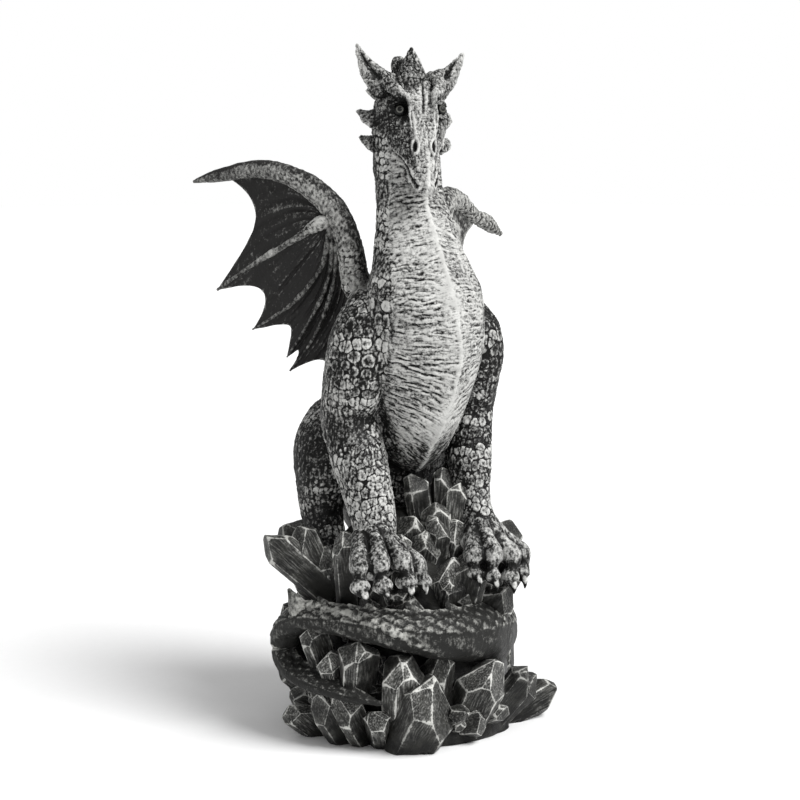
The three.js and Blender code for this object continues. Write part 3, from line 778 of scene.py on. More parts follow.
def dry_brushed(name, base, light, speckle=1.0, fineness=1.0, folded=False):
    """Black resin with a light dry-brushed coat: the point's own paint, broken up by fine noise and by
    drawn-out strokes, mixes the coat over the base, and the same noises make a fine grain. On a folded
    skin the strokes run across the belly."""
    finish = Finish(name)
    grain = finish.noise(620.0 * fineness, 4.0)
    strokes = finish.noise(330.0 * fineness, 4.0, (1.0, 1.0, 0.45))
    patch = finish.noise(110.0, 3.0)
    if folded:
        sides = {"X": finish.at_point("across"), "Y": finish.at_point("drawn")}
        hairs = finish.noise(1.0, 4.0, (0.16, 0.62, 1.0), finish.node("ShaderNodeCombineXYZ", {}, sides))
        strokes = strokes + finish.at_point("belly") * (hairs - strokes)
    cover = finish.at_point("paint") + speckle * (1.1 * (grain - 0.5) + 1.4 * (strokes - 0.5))
    cover = (cover + 0.4 * (patch - 0.5)).eased(0.12, 0.98)
    tone = finish.mixed(patch.eased(0.35, 0.65), light, tuple(0.8 * c for c in light[:3]) + (1,))
    finish.paint(
        Base_Color=finish.mixed(cover, base, tone),
        Roughness=0.5 + 0.3 * cover,
        Specular_IOR_Level=0.13,
        Normal=finish.raised(0.7 * grain + strokes + 0.4 * cover, 0.0004),
    )
    return finish


BODY_VOXEL = 1.05
BODY_TRIANGLES = 190000
FORELEG_TRIANGLES = 150000
HIDE_BLACK = (0.006, 0.006, 0.0056, 1)
HIDE_GREY = (0.62, 0.62, 0.6, 1)
hide_paint = dry_brushed("brushed_hide", HIDE_BLACK, HIDE_GREY, folded=True)
for name, shells, limb in (("dragon_body", body_shells, False), ("dragon_forelegs", foreleg_shells, True)):
    points, triangles = fused(shells, BODY_VOXEL)
    points = relaxed(points, triangles, 4)
    points, paint, belly, across, drawn = worked_hide(points, triangles, limb)
    dragon = modelled(name, points, triangles, paint=paint, belly=belly, across=across, drawn=drawn)
    thinned(dragon, FORELEG_TRIANGLES if limb else BODY_TRIANGLES)
    dragon.data.materials.append(hide_paint.material)
    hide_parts("dragon_on_crystal_rock")
    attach(dragon, "root")

# ---- head ----
# The head is cast in one with the neck: a beaked snout bent down, ear-like horns, a crest, and a frill
# of cheek spikes. It is modelled in a frame of its own, looking along the snout, then set on the neck.
HEAD_YAW = math.radians(-13)
HEAD_PITCH = math.radians(60)
CROWN = np.array([0.8, -4.2, 575.0])


def head_frame():
    """The head's axes: to its left, along the snout, and out of the brow."""
    ahead = np.array([math.sin(HEAD_YAW), -math.cos(HEAD_YAW), 0])
    left = np.array([math.cos(HEAD_YAW), math.sin(HEAD_YAW), 0])
    up = np.array([0, 0, 1.0])
    snout = ahead * math.cos(HEAD_PITCH) - up * math.sin(HEAD_PITCH)
    brow = ahead * math.sin(HEAD_PITCH) + up * math.cos(HEAD_PITCH)
    return np.stack([left, snout, brow])


# stations of the head's forms: to the left, along the snout, out of the brow, half-width, half-depth
SKULL = [
    [0, -4, -26, 20, 20], [0, 8, -26, 28, 25], [0, 24, -26, 31.5, 26], [0, 40, -23, 31, 22],
    [0, 58, -19, 24, 17], [0, 78, -14, 17, 13], [0, 96, -11, 13, 10], [0, 108, -8, 8, 7],
]
JAW = [
    [0, 22, -44, 31, 14], [0, 44, -43, 31, 13], [0, 62, -38, 23, 12], [0, 80, -30, 15, 10],
    [0, 94, -23, 8, 7],
]
# the face's middle line sways a little to the left of the skull's, at each distance along the snout
FACE_MIDDLE = np.array([[-20, 0], [6, 0], [20, 2.2], [33, 4.5], [57, 4.5], [70, 2.0], [90, 0.8], [108, 0]])
# the frill's spikes on the right cheek: foot, tip, and half-width at the foot; the left cheek's are low
CHEEK_SPIKES = [
    [[23, 13, -17], [39.5, 7.5, -16], 8],
    [[26, 30, -27], [45, 17.5, -35], 14],
    [[26, 48, -38], [43, 37, -45], 13],
]
LEFT_SPIKE_LENGTH = 0.55
HORN_FOOT = np.array([23, 6, -12.0])
HORN_TIPS = {-1: np.array([-47, -28, 1.0]), 1: np.array([47, -19, 1.0])}
EYE = {"out": 18, "along": 32, "depth": -9.0, "radius": 5.2}
NOSTRIL_OUT = 8.6


def face_middle(along):
    """How far the face's middle line lies to the left, at a distance along the snout."""
    return np.interp(along, FACE_MIDDLE[:, 0], FACE_MIDDLE[:, 1])


def beside_middle(rows, side):
    """Stations given as a distance from the face's middle line, set out to one side of it."""
    return [[face_middle(along) + side * out_by, along, *rest] for out_by, along, *rest in rows]


BRIDGE = [
    [0, 10, -8, 10, 6], [0, 27, -6, 14, 6.4], [0, 40, -6.4, 13, 6.4], [0, 57, -7, 11, 6],
    [0, 69, -6.6, 10, 5.8], [0, 82, -6, 5.6, 5.4], [0, 95, -6, 4, 5], [0, 107, -7, 2.6, 4],
]
BROW = [
    [26, -1, -12, 5, 5.5], [22, 11, -2.5, 6, 6], [16.5, 21, 1.5, 5.4, 5.4],
    [12.8, 30, 0.8, 4.2, 4.2], [11.2, 40, -2.6, 3.8, 3.4], [9.6, 50, -4.2, 3.6, 3.2],
    [8.8, 61, -5.0, 3.4, 3.0],
]
UPPER_LID = [
    [26, 27, -12, 1.4, 1.4], [22.5, 26.5, -5.5, 2, 2], [17.5, 28, -2.4, 2.2, 2.2],
    [12.5, 35, -3.4, 1.5, 1.5],
]
LOWER_LID = [
    [26, 30, -13, 1.3, 1.3], [23, 35.5, -8.6, 1.8, 1.8], [18.5, 38, -6.2, 1.8, 1.8],
    [13, 38.2, -4.6, 1.3, 1.3],
]
MOUTH = np.array([
    [30, 45, -32], [26.5, 55, -29], [21.5, 68, -22], [17.5, 79, -15], [14.6, 87, -11],
    [11.4, 96, -8.2], [7.6, 105, -6.4],
])

brow_way = (0, 0, 1)
head_shells = [
    swept(SKULL, 90, 90, brow_way),
    swept(JAW, 80, 60, brow_way),
    swept(beside_middle(BRIDGE, 1), 50, 80, brow_way),
    horned((0, 3, -10), (0, -22, 6), 15, 12, facing=(0, 1, 0), around=40, rings=30),
    ball((-8, -15, -14), (7.5, 8, 9)),
]
for side in (-1, 1):
    foot = HORN_FOOT * (side, 1, 1)
    facing = (side * 0.5, 0.2, 1)
    head_shells.append(horned(foot, HORN_TIPS[side], 14, 9, (side * 1, 3, -4), facing, 50, 50))
    head_shells.append(swept(beside_middle(BROW, side), 30, 60, brow_way))
    head_shells.append(swept(beside_middle(UPPER_LID, side), 16, 40, brow_way))
    head_shells.append(swept(beside_middle(LOWER_LID, side), 16, 40, brow_way))
    for spike_foot, spike_tip, width in CHEEK_SPIKES:
        mirror = np.array([side, 1, 1])
        spike_foot = spike_foot * mirror
        reach = spike_tip * mirror - spike_foot
        if side > 0:
            reach = LEFT_SPIKE_LENGTH * reach
        head_shells.append(horned(spike_foot, spike_foot + reach, width, 5, (0, 2.5, 0), brow_way, 32, 30))

HEAD_VOXEL = 0.72
HEAD_TRIANGLES = 160000
HEAD_GREY = (0.66, 0.66, 0.64, 1)
points, triangles = fused(head_shells, HEAD_VOXEL)
points = relaxed(points, triangles, 5)
out = normals(points, triangles)
across, along, proud = points.T
beside = across - face_middle(along)
off = np.abs(beside)

# how far each point belongs to a feature of the face, from 0 to 1
bridge_edge = np.interp(along, [20, 27, 39, 48, 57, 69, 85, 100], [17, 14, 12.8, 11, 10, 9, 7, 5])
front_side = fade(proud, -27, -17)
flank = fade(off, bridge_edge + 0.5, bridge_edge + 4.5) * within(along, 26, 34, 84, 100) * front_side
socket = np.exp(-(((off - EYE["out"]) / 6.6) ** 2) - ((along - EYE["along"]) / 5.2) ** 2) * front_side
nostril = ((off - NOSTRIL_OUT) / 1.8) ** 2 + ((along - 69.5) / 4.4) ** 2
nostril_hole = np.exp(-nostril) * fade(proud, -14, -9)
rim = hump(np.hypot((off - NOSTRIL_OUT) / 3.0, (along - 69) / 6.6) - 1, 0.42) * fade(proud, -14, -9)
furrow_way = np.interp(along, [13, 22, 36], [7.5, 6.5, 4.6])
furrow = hump(across - furrow_way, 1.3) * within(along, 8, 14, 36, 42) * front_side
crease_way = np.interp(along, [38, 55, 70], [10.4, 11.2, 9.4])
crease = hump(off - crease_way, 1.2) * within(along, 36, 43, 60, 66) * front_side

mouth_gap = line_gap(np.stack([np.abs(across - 0.3 * face_middle(along)), along, proud], axis=1), MOUTH)
slit = hump(mouth_gap, 1.2)
lips = hump(mouth_gap - 3.4, 1.3)
beak_way = face_middle(along) + np.interp(along, [74, 89, 104], [2.6, 2.4, 0.2])
beak = hump(across - beak_way, 2.4) * fade(along, 72, 78) * front_side

horn_hollow = 0
for side in (-1, 1):
    foot = HORN_FOOT * (side, 1, 1)
    way = HORN_TIPS[side] - foot
    up_horn = ((points - foot) @ way) / np.linalg.norm(way)
    lower_edge = np.array([side * 0.817, 0.577, 0])
    to_edge = (points - foot) @ lower_edge
    hollow = hump(to_edge - 4.5 + 0.07 * up_horn, 2.8) * within(up_horn, 5, 13, 30, 40)
    horn_hollow = horn_hollow + hollow * fade(out[:, 2], -0.1, 0.4)

plate = fade(np.abs(across - 0.1 * along), 15, 11) * within(along, -14, -6, 15, 19)
plate = plate * fade(proud, -16, -9)


def wrinkled(points, size, seed):
    """Winding grooves: deepest where a noise passes through nought."""
    return -hump(cloud(points, size, seed), 0.16)


# wrinkles all over, pebbles on the brow's plate, then the features' own depths
scale_high = rosettes(points, 7.5, 41, 0.15)[0]
skin = 0.5 * wrinkled(points, 5.2, 42) + 0.35 * wrinkled(points, 2.8, 45) + 0.2 * cloud(points, 1.5, 46)
skin += 0.3 * fibres(points, 47, 1.6, 5.0)
skin = skin * (1 - 0.5 * plate) + 0.5 * scale_high * plate
skin += 0.8 * clouds(points, 9, 3, 43)
smooth = np.clip(nostril_hole + slit + rim, 0, 1)
relief = skin * (1 - smooth) - 2.4 * flank - 4.6 * socket - 4.4 * nostril_hole + 1.1 * rim
relief += -1.7 * furrow - 1.8 * crease - 2.2 * slit + 1.0 * lips + 1.0 * beak - 2.6 * horn_hollow
points = points + relief[:, None] * out
out = normals(points, triangles)
lifted = proud_of(points, triangles, out, 8)
# the paint: light on the bridge and the frill, with a painted highlight on the crest's left side; black in
# the sockets and hollows, which the dry brush misses, and darker still there with painted shade
amount = np.full(len(points), 0.4)
amount += 0.15 * fade(off, bridge_edge + 2, bridge_edge) * fade(along, 10, 20) * front_side
# painted shade down the face's right side, turned from the light
shaded_side = fade(beside, -bridge_edge + 3, -bridge_edge - 8) * within(along, -8, 14, 58, 92)
amount += 0.1 * cloud(points, 10, 44)
# painted shade: the face's right side, and the horns' hollows, sockets, nostrils and mouth darker than the
# dry brush alone leaves them
amount -= 0.12 * shaded_side + 0.3 * horn_hollow + 0.45 * socket + 0.6 * nostril_hole + 0.45 * slit
# the beak's ridge catches the dry brush and gets a painted highlight as well
amount += 0.04 * rim + 0.14 * beak + 0.1 * lips - 0.06 * plate * fade(across, 14, 2)
amount += 0.12 * fade(np.abs(across), 33, 38)
# painted shade under the jaw
amount -= 0.2 * fade(proud, -40, -56)
# painted highlight on the crest's left side, which faces the light, and painted shade on its right
on_crest = fade(along, 0, -8) * fade(np.abs(across), 20, 14)
amount += on_crest * (0.22 * fade(out[:, 0], -0.1, 0.4) - 0.08)
paint = brushed(0.7 * lifted, amount)
points, triangles = placed((points, triangles), head_frame(), CROWN)
head = modelled("dragon_head", points, triangles, paint=paint)
thinned(head, HEAD_TRIANGLES)
head_paint = dry_brushed("brushed_head", HIDE_BLACK, HEAD_GREY, 0.8, fineness=1.5)
head.data.materials.append(head_paint.material)
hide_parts("dragon_on_crystal_rock")
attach(head, "root")

# The eyes are balls of the same casting, picked out with a pale painted ring round a black pupil.
eye_shells = []
ring = []
for side in (-1, 1):
    centre = np.array([face_middle(EYE["along"]) + side * EYE["out"], EYE["along"], EYE["depth"]])
    shell = ball(centre, [EYE["radius"]] * 3, 48, 32)
    gaze = unit(np.array([side * 0.25, 0.12, 1.0]))
    ring.append(np.degrees(np.arccos(np.clip((shell[0] - centre) @ gaze / EYE["radius"], -1, 1))))
    eye_shells.append(placed(shell, head_frame(), CROWN))
points, triangles = joined(eye_shells)
eyes = modelled("dragon_eyes", points, triangles, ring=np.concatenate(ring))
eye_paint = Finish("painted_eye")
flecks = eye_paint.noise(1500.0, 3.0)
wavy = eye_paint.at_point("ring") + 6 * (flecks - 0.5)
iris = wavy.eased(23, 27) * (1 - wavy.eased(35, 40))
PUPIL_BLACK = (0.004, 0.004, 0.004, 1)
RING_GREY = (0.13, 0.13, 0.115, 1)
eye_paint.paint(
    Base_Color=eye_paint.mixed(iris * (0.6 + 0.5 * flecks), PUPIL_BLACK, RING_GREY),
    Roughness=0.3 + 0.25 * flecks,
    Specular_IOR_Level=0.22,
)
eyes.data.materials.append(eye_paint.material)
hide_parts("dragon_on_crystal_rock")
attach(eyes, "root")

# ---- tail ----
# The tail leaves the rump at the back, goes round the rock on the dragon's left and across the front,
# and curls down at the right. Its back is covered with overlapping scales, its flanks are smooth.
TAIL = [
    [0, 66, 206, 34, 34], [20, 98, 160, 33, 30], [58, 92, 116, 29, 27], [80, 54, 86, 27, 26],
    [82, 6, 74, 25, 27], [56, -44, 82, 24, 27], [24, -78, 92, 23, 24], [-18, -94, 99, 20, 20],
    [-66, -84, 108, 17, 15], [-104, -50, 113, 14, 12], [-120, -14, 104, 13, 11],
    [-121, 2, 80, 13, 11], [-118, -14, 62, 15, 10], [-106, -48, 56, 17, 8], [-92, -76, 51, 10, 5],
    [-78, -98, 48, 2, 2],
]
SCALE_LENGTH = 8.0
SCALE_WIDTH = 11.0
TAIL_TRIANGLES = 100000
TAIL_BLACK = (0.017, 0.017, 0.016, 1)
TAIL_GREY = (0.5, 0.5, 0.47, 1)
tail_share = np.linspace(0, 1, 800)
tail_line = curve(TAIL, tail_share)
tail_length = np.concatenate([[0], np.cumsum(np.linalg.norm(np.diff(tail_line[:, :3], axis=0), axis=1))])


def tail_scales(t, angle):
    """Overlapping scales: in each row a scale is half an ellipse that reaches over the next row, and
    it rises from its root to its free edge. The row before lies on top. Flanks have slow folds."""
    length = np.interp(t, tail_share, tail_length)
    round_by = (angle - np.pi / 2 + np.pi) % (2 * np.pi) - np.pi
    size = np.interp(t, tail_share, 0.5 * (tail_line[:, 3] + tail_line[:, 4]))
    sideways = round_by * size + 0 * length
    length = length + 0 * angle
    small = np.clip(size / 20, 0.45, 1.15)
    high = np.zeros(sideways.shape)
    covered = np.zeros(sideways.shape, bool)
    for before in (1, 0):
        row = np.floor(length / SCALE_LENGTH) - before
        down = (length - row * SCALE_LENGTH) / (1.6 * SCALE_LENGTH)
        shift = 0.5 * (row % 2)
        width = SCALE_WIDTH * small
        aside = ((sideways / width + shift + 0.5) % 1.0 - 0.5) / 0.53
        inside = (down ** 2 + aside ** 2 < 1) & ~covered
        height = (0.25 + 0.75 * down) * np.sqrt(np.clip(1.15 - down ** 2 * 0.3 - aside ** 2 * 0.8, 0, 1))
        high = np.where(inside, height, high)
        covered |= inside
    scaly = fade(np.abs(round_by), 1.35, 1.15)
    ridge = 2.2 * hump(round_by, 0.16)
    folds = 0.5 * np.sin(length / 5.5 + 2.5 * np.sin(3 * round_by)) * (1 - scaly)
    return (1.9 * high * scaly + ridge + folds) * fade(size, 1.5, 9) * fade(t, 0.02, 0.06)


tail_shells = [swept(TAIL, 96, 520, (0, 0, 1), tail_scales)]
TAIL_SPIKES = 12
for i in range(TAIL_SPIKES):
    row, after = curve(TAIL, np.array([0.03 + 0.052 * i, 0.05 + 0.052 * i]))
    step = 9 * unit(after[:3] - row[:3])
    foot = row[:3] + np.array([0, 0, row[4] - 4])
    tip = row[:3] + np.array([0, 0, row[4] + 8]) + step
    tail_shells.append(horned(foot, tip, 4, 9, facing=step))
# a knobbly crest runs over the part that crosses the rock at the dragon's right
CREST = np.array([
    [-124, -20, 121, 3, 3], [-113, -37, 122, 5, 6], [-105, -57, 121.5, 4, 4],
    [-95, -69, 120.5, 5.5, 5], [-80, -86, 117, 4, 4], [-69, -97, 111, 5.5, 5],
    [-56, -102, 105, 4, 4], [-40, -105, 97, 2, 2],
])
tail_shells.append(swept(CREST, 24, 120, (0, 0, 1)))
for foot, tip, size in (
    ((-118, -27, 114), (-131, -29, 138), 11),
    ((-112, -40, 118), (-114, -44, 130), 6),
    ((-105, -52, 118), (-108, -56, 130), 7),
    ((-90, -73, 116), (-92, -80, 127), 9),
    ((-70, -93, 108), (-71, -102, 115), 7),
):
    tail_shells.append(horned(foot, tip, size, size))
points, triangles = joined(tail_shells)
points = points + 0.35 * cloud(points, 3.2, 51)[:, None] * normals(points, triangles)
out = normals(points, triangles)
lifted = proud_of(points, triangles, out, 7)
on_left = fade(points[:, 0], 20, -60) * fade(points[:, 2], 80, 96)
crest_gap = line_gap(points, CREST[:, :3])
amount = 0.13 + 0.1 * on_left + 0.14 * fade(crest_gap, 8, 5) + 0.08 * cloud(points, 14, 52)
# painted shade on the faces turned downward
amount -= 0.08 * fade(out[:, 2], 0.2, -0.3)
paint = brushed(0.65 * lifted + 0.5 * cloud(points, 3, 53) * fade(crest_gap, 8, 5), amount)
tail = modelled("dragon_tail", points, triangles, paint=paint)
thinned(tail, TAIL_TRIANGLES)
tail_paint = dry_brushed("brushed_tail", TAIL_BLACK, TAIL_GREY, 0.65, fineness=1.2)
tail.data.materials.append(tail_paint.material)
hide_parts("dragon_on_crystal_rock")
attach(tail, "root")

# ---- crystal rock ----
# The plinth: a rough core set all round with six-sided quartz points, cast in one with the dragon.
# It is painted black, and only the crystals' edges and a few streaks took the dry brush.
BASE_RADIUS = 104
ROCK_TOP = 150
ROCK_TRIANGLES = 160000
WORN_BLACK = (0.016, 0.016, 0.014, 1)
ROCK_GREY = (0.6, 0.6, 0.57, 1)
# each crystal: its foot, its tip and its radius
FRONT_CRYSTALS = [
    [-41, -74, 0, -27, -110, 66, 34], [-45, -66, 3, -57, -99, 86, 21],
    [-77, -40, 17, -88, -76, 98, 19], [-11, -60, 0, -23, -94, 84, 17],
    [-84, -40, 0, -118, -56, 48, 14], [-70, -50, 0, -104, -72, 50, 15],
    [-60, -64, 0, -77, -88, 38, 13], [-90, -10, 0, -122, -8, 30, 16],
    [-86, -20, 41, -118, -42, 108, 14], [-79, -30, 15, -108, -54, 86, 14],
    [11, -70, 2, 24, -108, 74, 23], [34, -66, 0, 75, -84, 56, 15], [49, -56, 0, 94, -68, 42, 13],
    [62, -50, 0, 122, -50, 24, 16],
]
TOP_CRYSTALS = [
    [-80, -14, 122, -132, 20, 176, 16], [-82, -8, 122, -106, 12, 182, 16],
    [-78, -14, 118, -90, -6, 166, 14], [-80, -40, 120, -84, -40, 186, 12],
    [2, -30, 140, -11, -28, 228, 12], [20, -26, 140, 23, -24, 230, 13],
    [16, -44, 136, 27, -42, 219, 14], [4, -46, 130, -1, -48, 206, 14],
    [7, -52, 100, 0, -74, 160, 21], [18, -60, 104, 22, -82, 168, 17],
    [-12, -36, 130, -18, -68, 184, 15], [0, -36, 130, -4, -66, 196, 13],
    [-28, -40, 126, -38, -72, 168, 15], [-20, -28, 130, -26, -54, 198, 14],
    [-36, -30, 126, -42, -60, 184, 14], [14, -34, 130, 14, -60, 190, 13],
    [30, -40, 126, 36, -66, 184, 13], [65, -26, 115, 99, -12, 172, 14],
    [50, -46, 100, 80, -50, 150, 17], [36, -52, 92, 58, -76, 132, 19],
    [-40, -56, 96, -44, -82, 132, 18], [-64, -44, 96, -74, -66, 126, 18],
]


def ring_of_crystals(count, start, end, height, reach, rise, radius, phase):
    """Crystals fanned outward from the core between two angles in degrees, the sizes varied by sines
    of their number."""
    rows = []
    for i in range(count):
        angle = math.radians(start + (end - start) * i / (count - 1))
        wave = math.sin(phase + 2.1 * i)
        out_by = reach * (1 + 0.1 * math.cos(1.7 * i + phase))
        way = np.array([math.cos(angle), math.sin(angle)])
        rows.append([
            *(0.55 * reach * way), height,
            *(out_by * way), height + rise * (1 + 0.4 * wave), radius * (1 + 0.25 * wave),
        ])
    return rows


STEP_ALONG_EDGE = 5.5
BEVEL = 0.3


def facet_grid(corners):
    """A flat face as rings of points drawn in from its edges to its middle. Gives the points, their
    triangles, and how far each is from the nearest edge."""
    middle = corners.mean(axis=0)
    ends = np.roll(corners, -1, axis=0)
    outline = np.concatenate([
        start + (end - start) * np.arange(count)[:, None] / count
        for start, end in zip(corners, ends)
        for count in [max(1, math.ceil(np.linalg.norm(end - start) / STEP_ALONG_EDGE - 1e-6))]
    ])
    way = unit(ends - corners)

    def edge_gap(points):
        arm = points[:, None] - corners
        return np.linalg.norm(arm - (arm * way).sum(-1, keepdims=True) * way, axis=-1).min(axis=1)

    inner = edge_gap(middle[None])[0]
    shares = [0] + [share for share in (0.6 / inner, 1.6 / inner) if share < 0.4] + [0.45, 0.75]
    rings = [middle + (outline - middle) * (1 - share) for share in shares]
    points = np.concatenate(rings + [middle[None]])
    count = len(outline)
    k = np.arange(count)
    beside = (k + 1) % count
    triangles = []
    for ring in range(len(shares) - 1):
        low, high = ring * count, (ring + 1) * count
        triangles.append(np.stack([low + k, low + beside, high + beside], -1))
        triangles.append(np.stack([low + k, high + beside, high + k], -1))
    last = (len(shares) - 1) * count
    triangles.append(np.stack([last + k, last + beside, 0 * k + len(points) - 1], -1))
    return points, np.concatenate(triangles), edge_gap(points)


def crystal(row, index):
    """A quartz point: the space inside thirteen planes. Six uneven sides widen a little from the foot,
    and six end planes lean out from the tip, each by its own slope, so that one broad face and some
    narrow ones meet off the middle. A corner lies where three planes meet and no other cuts it off."""
    foot, tip, radius = np.array(row[0:3], float), np.array(row[3:6], float), row[6]
    axis = unit(tip - foot)
    across = unit(np.cross(axis, (0.3, 1, 0.2)))
    frame_of_axes = np.stack([across, np.cross(axis, across), axis])
    length = np.linalg.norm(tip - foot)
    number = np.arange(6)
    around = 2.4 * index + np.pi * (number + 0.5) / 3
    side_at = 0.9 * radius * (1 + 0.14 * np.sin(3.1 * number + index))
    sides = np.stack([np.cos(around), np.sin(around), -0.14 * side_at / length], axis=1)
    slope = 0.7 + 0.8 * np.abs(np.sin(2.3 * number + 1.7 * index))
    slope[index % 6] = 0.38
    late = 0.3 * radius * np.sin(1.9 * number + index) ** 2
    late[index % 6] = 0
    apex = 0.22 * radius * np.array([math.cos(index), math.sin(index)])
    ends = np.stack([slope * np.cos(around), slope * np.sin(around), 1 + 0 * slope], axis=1)
    ends_at = length + slope * late + ends[:, :2] @ apex
    planes = np.concatenate([sides, ends, [[0, 0, -1.0]]])
    reach = np.concatenate([0.86 * side_at, ends_at, [0.0]])
    reach = reach / np.linalg.norm(planes, axis=1)
    planes = unit(planes)
    threes = np.array(list(itertools.combinations(range(len(planes)), 3)))
    threes = threes[np.abs(np.linalg.det(planes[threes])) > 1e-4]
    corners = np.linalg.solve(planes[threes], reach[threes][..., None])[..., 0]
    corners = corners[(corners @ planes.T < reach + 1e-6).all(axis=1)]
    corners = np.unique(corners.round(4), axis=0)
    grids = []
    for plane, at in zip(planes, reach):
        face = corners[np.abs(corners @ plane - at) < 2e-3]
        if len(face) > 2:
            arm = face - face.mean(axis=0)
            first = unit(np.cross(plane, (0.31, 0.52, 0.79)))
            order = np.argsort(np.arctan2(arm @ np.cross(plane, first), arm @ first))
            grids.append(facet_grid(face[order]))
    points, triangles = joined([grid[:2] for grid in grids])
    edge = np.concatenate([grid[2] for grid in grids]) * (20 / radius) ** 0.6
    shade = np.concatenate([
        np.full(len(grid[0]), chance[(97 * index + 31 * k) & 4095]) for k, grid in enumerate(grids)
    ])
    risen = fade(points[:, 2], 0.12 * length, 0.6 * length)
    _, first, same = np.unique(points.round(2), axis=0, return_index=True, return_inverse=True)
    points, triangles = points[first], same.ravel()[triangles]
    edge, shade, risen = edge[first], shade[first], risen[first]
    chip = BEVEL + 0.9 * fade(cloud(points + 40 * index, 6, 63), 0.2, 0.8)
    inward = unit(np.array([0, 0, 0.6 * length]) - points)
    points = points + (chip * fade(edge, 0.3, 0.0))[:, None] * inward
    place = np.stack([points[:, 0] + 50 * index, points[:, 1], 0.12 * points[:, 2]], axis=1)
    points, triangles = outward(foot + points @ frame_of_axes, triangles)
    return points, triangles, edge, shade, place, risen


crystal_rows = FRONT_CRYSTALS + TOP_CRYSTALS
crystal_rows += ring_of_crystals(10, 8, 186, 8, 108, 40, 18, 0.4)
crystal_rows += ring_of_crystals(8, 20, 168, 104, 106, 50, 15, 1.9)
# smaller points fill the gaps between the large ones, where the tail doesn't lie
FILLING_CRYSTALS = 130
draw = np.random.default_rng(5)
for _ in range(FILLING_CRYSTALS):
    angle = draw.uniform(0, 2 * np.pi)
    height = draw.uniform(0, 134)
    core = np.interp(height, [0, 60, 100, 150], [90, 80, 74, 58])
    radius = draw.uniform(8, 14)
    long = draw.uniform(26, 40)
    lean = angle + draw.normal(0, 0.5)
    climb = draw.uniform(0.5, 1.25)
    foot = np.array([0.72 * core * math.cos(angle), 0.72 * core * math.sin(angle), height])
    tip = foot + long * np.array([
        math.cos(lean) * math.cos(climb),
        math.sin(lean) * math.cos(climb),
        math.sin(climb),
    ])
    tip[:2] += 0.2 * core * np.array([math.cos(angle), math.sin(angle)])
    if nearness(tip[None], TAIL, 80)[0] > 1.7:
        crystal_rows.append([*foot, *tip, radius])
crystal_rows += ring_of_crystals(6, 98, 164, 50, 106, 44, 16, 3.1)


def rocky(t, angle):
    """The core's lumps: a noise on a round column."""
    spot = np.stack([3 * np.cos(angle) + 0 * t, 3 * np.sin(angle) + 0 * t, 4.5 * t + 0 * angle], axis=-1)
    return 5 * clouds(spot, 1.0, 4, 61)


core_shell = swept([
    [0, 0, 1, BASE_RADIUS - 8, BASE_RADIUS - 10],
    [0, 0, 40, BASE_RADIUS - 14, BASE_RADIUS - 16],
    [-3, 4, 80, 82, 80], [-4, 4, 112, 78, 78], [-4, 6, 136, 78, 70],
    [-2, 14, ROCK_TOP - 6, 62, 54],
], 160, 70, (0, -1, 0), rocky)
crystals = [crystal(row, index) for index, row in enumerate(crystal_rows)]
points, triangles = joined([core_shell] + [made[:2] for made in crystals])
core_count = len(core_shell[0])
FAR_FROM_EDGES = 8.0
edge = np.concatenate([np.full(core_count, FAR_FROM_EDGES)] + [made[2] for made in crystals])
shade = np.concatenate([np.zeros(core_count)] + [made[3] for made in crystals])
place = np.concatenate([core_shell[0]] + [made[4] for made in crystals])
uneven = 0.25 * cloud(points, 5, 64) + 0.35 * cloud(points, 11, 65)
points = points + uneven[:, None] * normals(points, triangles)
points[:, 2] = np.maximum(points[:, 2], 0)
risen = np.concatenate([np.zeros(core_count)] + [made[5] for made in crystals])
wiped = fade(cloud(points, 40, 68), -0.2, 0.6)
# each face's own tone and wiped patches, darker toward the dragon's left
shade = 0.3 + 0.45 * shade + 0.5 * wiped - 0.4 * fade(points[:, 0], 30, 65)
# painted shade: each crystal darkens toward its foot, down among the others, and its worn edges fade there
# too
shade = np.clip(shade, 0, 1) * risen
rock = modelled("crystal_rock", points, triangles, edge=edge, shade=shade, place=place)
thinned(rock, ROCK_TRIANGLES)

rock_paint = Finish("brushed_crystal")
edge_gap = rock_paint.at_point("edge")
# each face's tone, with the painted shade at the crystals' feet
face_tone_and_painted_shade = rock_paint.at_point("shade")
own_place = rock_paint.at_point("place", 1)
grain = rock_paint.noise(600.0, 5.0)
patch = rock_paint.noise(95.0, 4.0)
streak = rock_paint.noise(0.8, 4.0, (1, 1, 1), own_place)
width = 0.1 + 0.7 * patch.eased(0.42, 0.66)
worn = 1 - (edge_gap - width - 1.6 * (grain - 0.5)).eased(-0.1, 0.6)
halo = (1 - edge_gap.eased(0.0, 7.0)) * patch.eased(0.36, 0.6)
rubbed = streak.eased(0.42, 0.7) * (0.35 + 0.9 * grain) * face_tone_and_painted_shade
cover = worn * (0.3 + patch) * (0.25 + 0.55 * face_tone_and_painted_shade) + 0.3 * halo * grain
cover = cover + 0.42 * rubbed + 0.24 * face_tone_and_painted_shade * grain
tint = rock_paint.mixed(patch.eased(0.4, 0.62), HIDE_BLACK, WORN_BLACK)
rock_paint.paint(
    Base_Color=rock_paint.mixed(cover.eased(0, 1.1), tint, ROCK_GREY),
    Roughness=0.42 + 0.3 * cover,
    Specular_IOR_Level=0.18,
    Normal=rock_paint.raised(0.6 * grain + streak, 0.0005),
)
rock.data.materials.append(rock_paint.material)
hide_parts("dragon_on_crystal_rock")
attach(rock, "root")

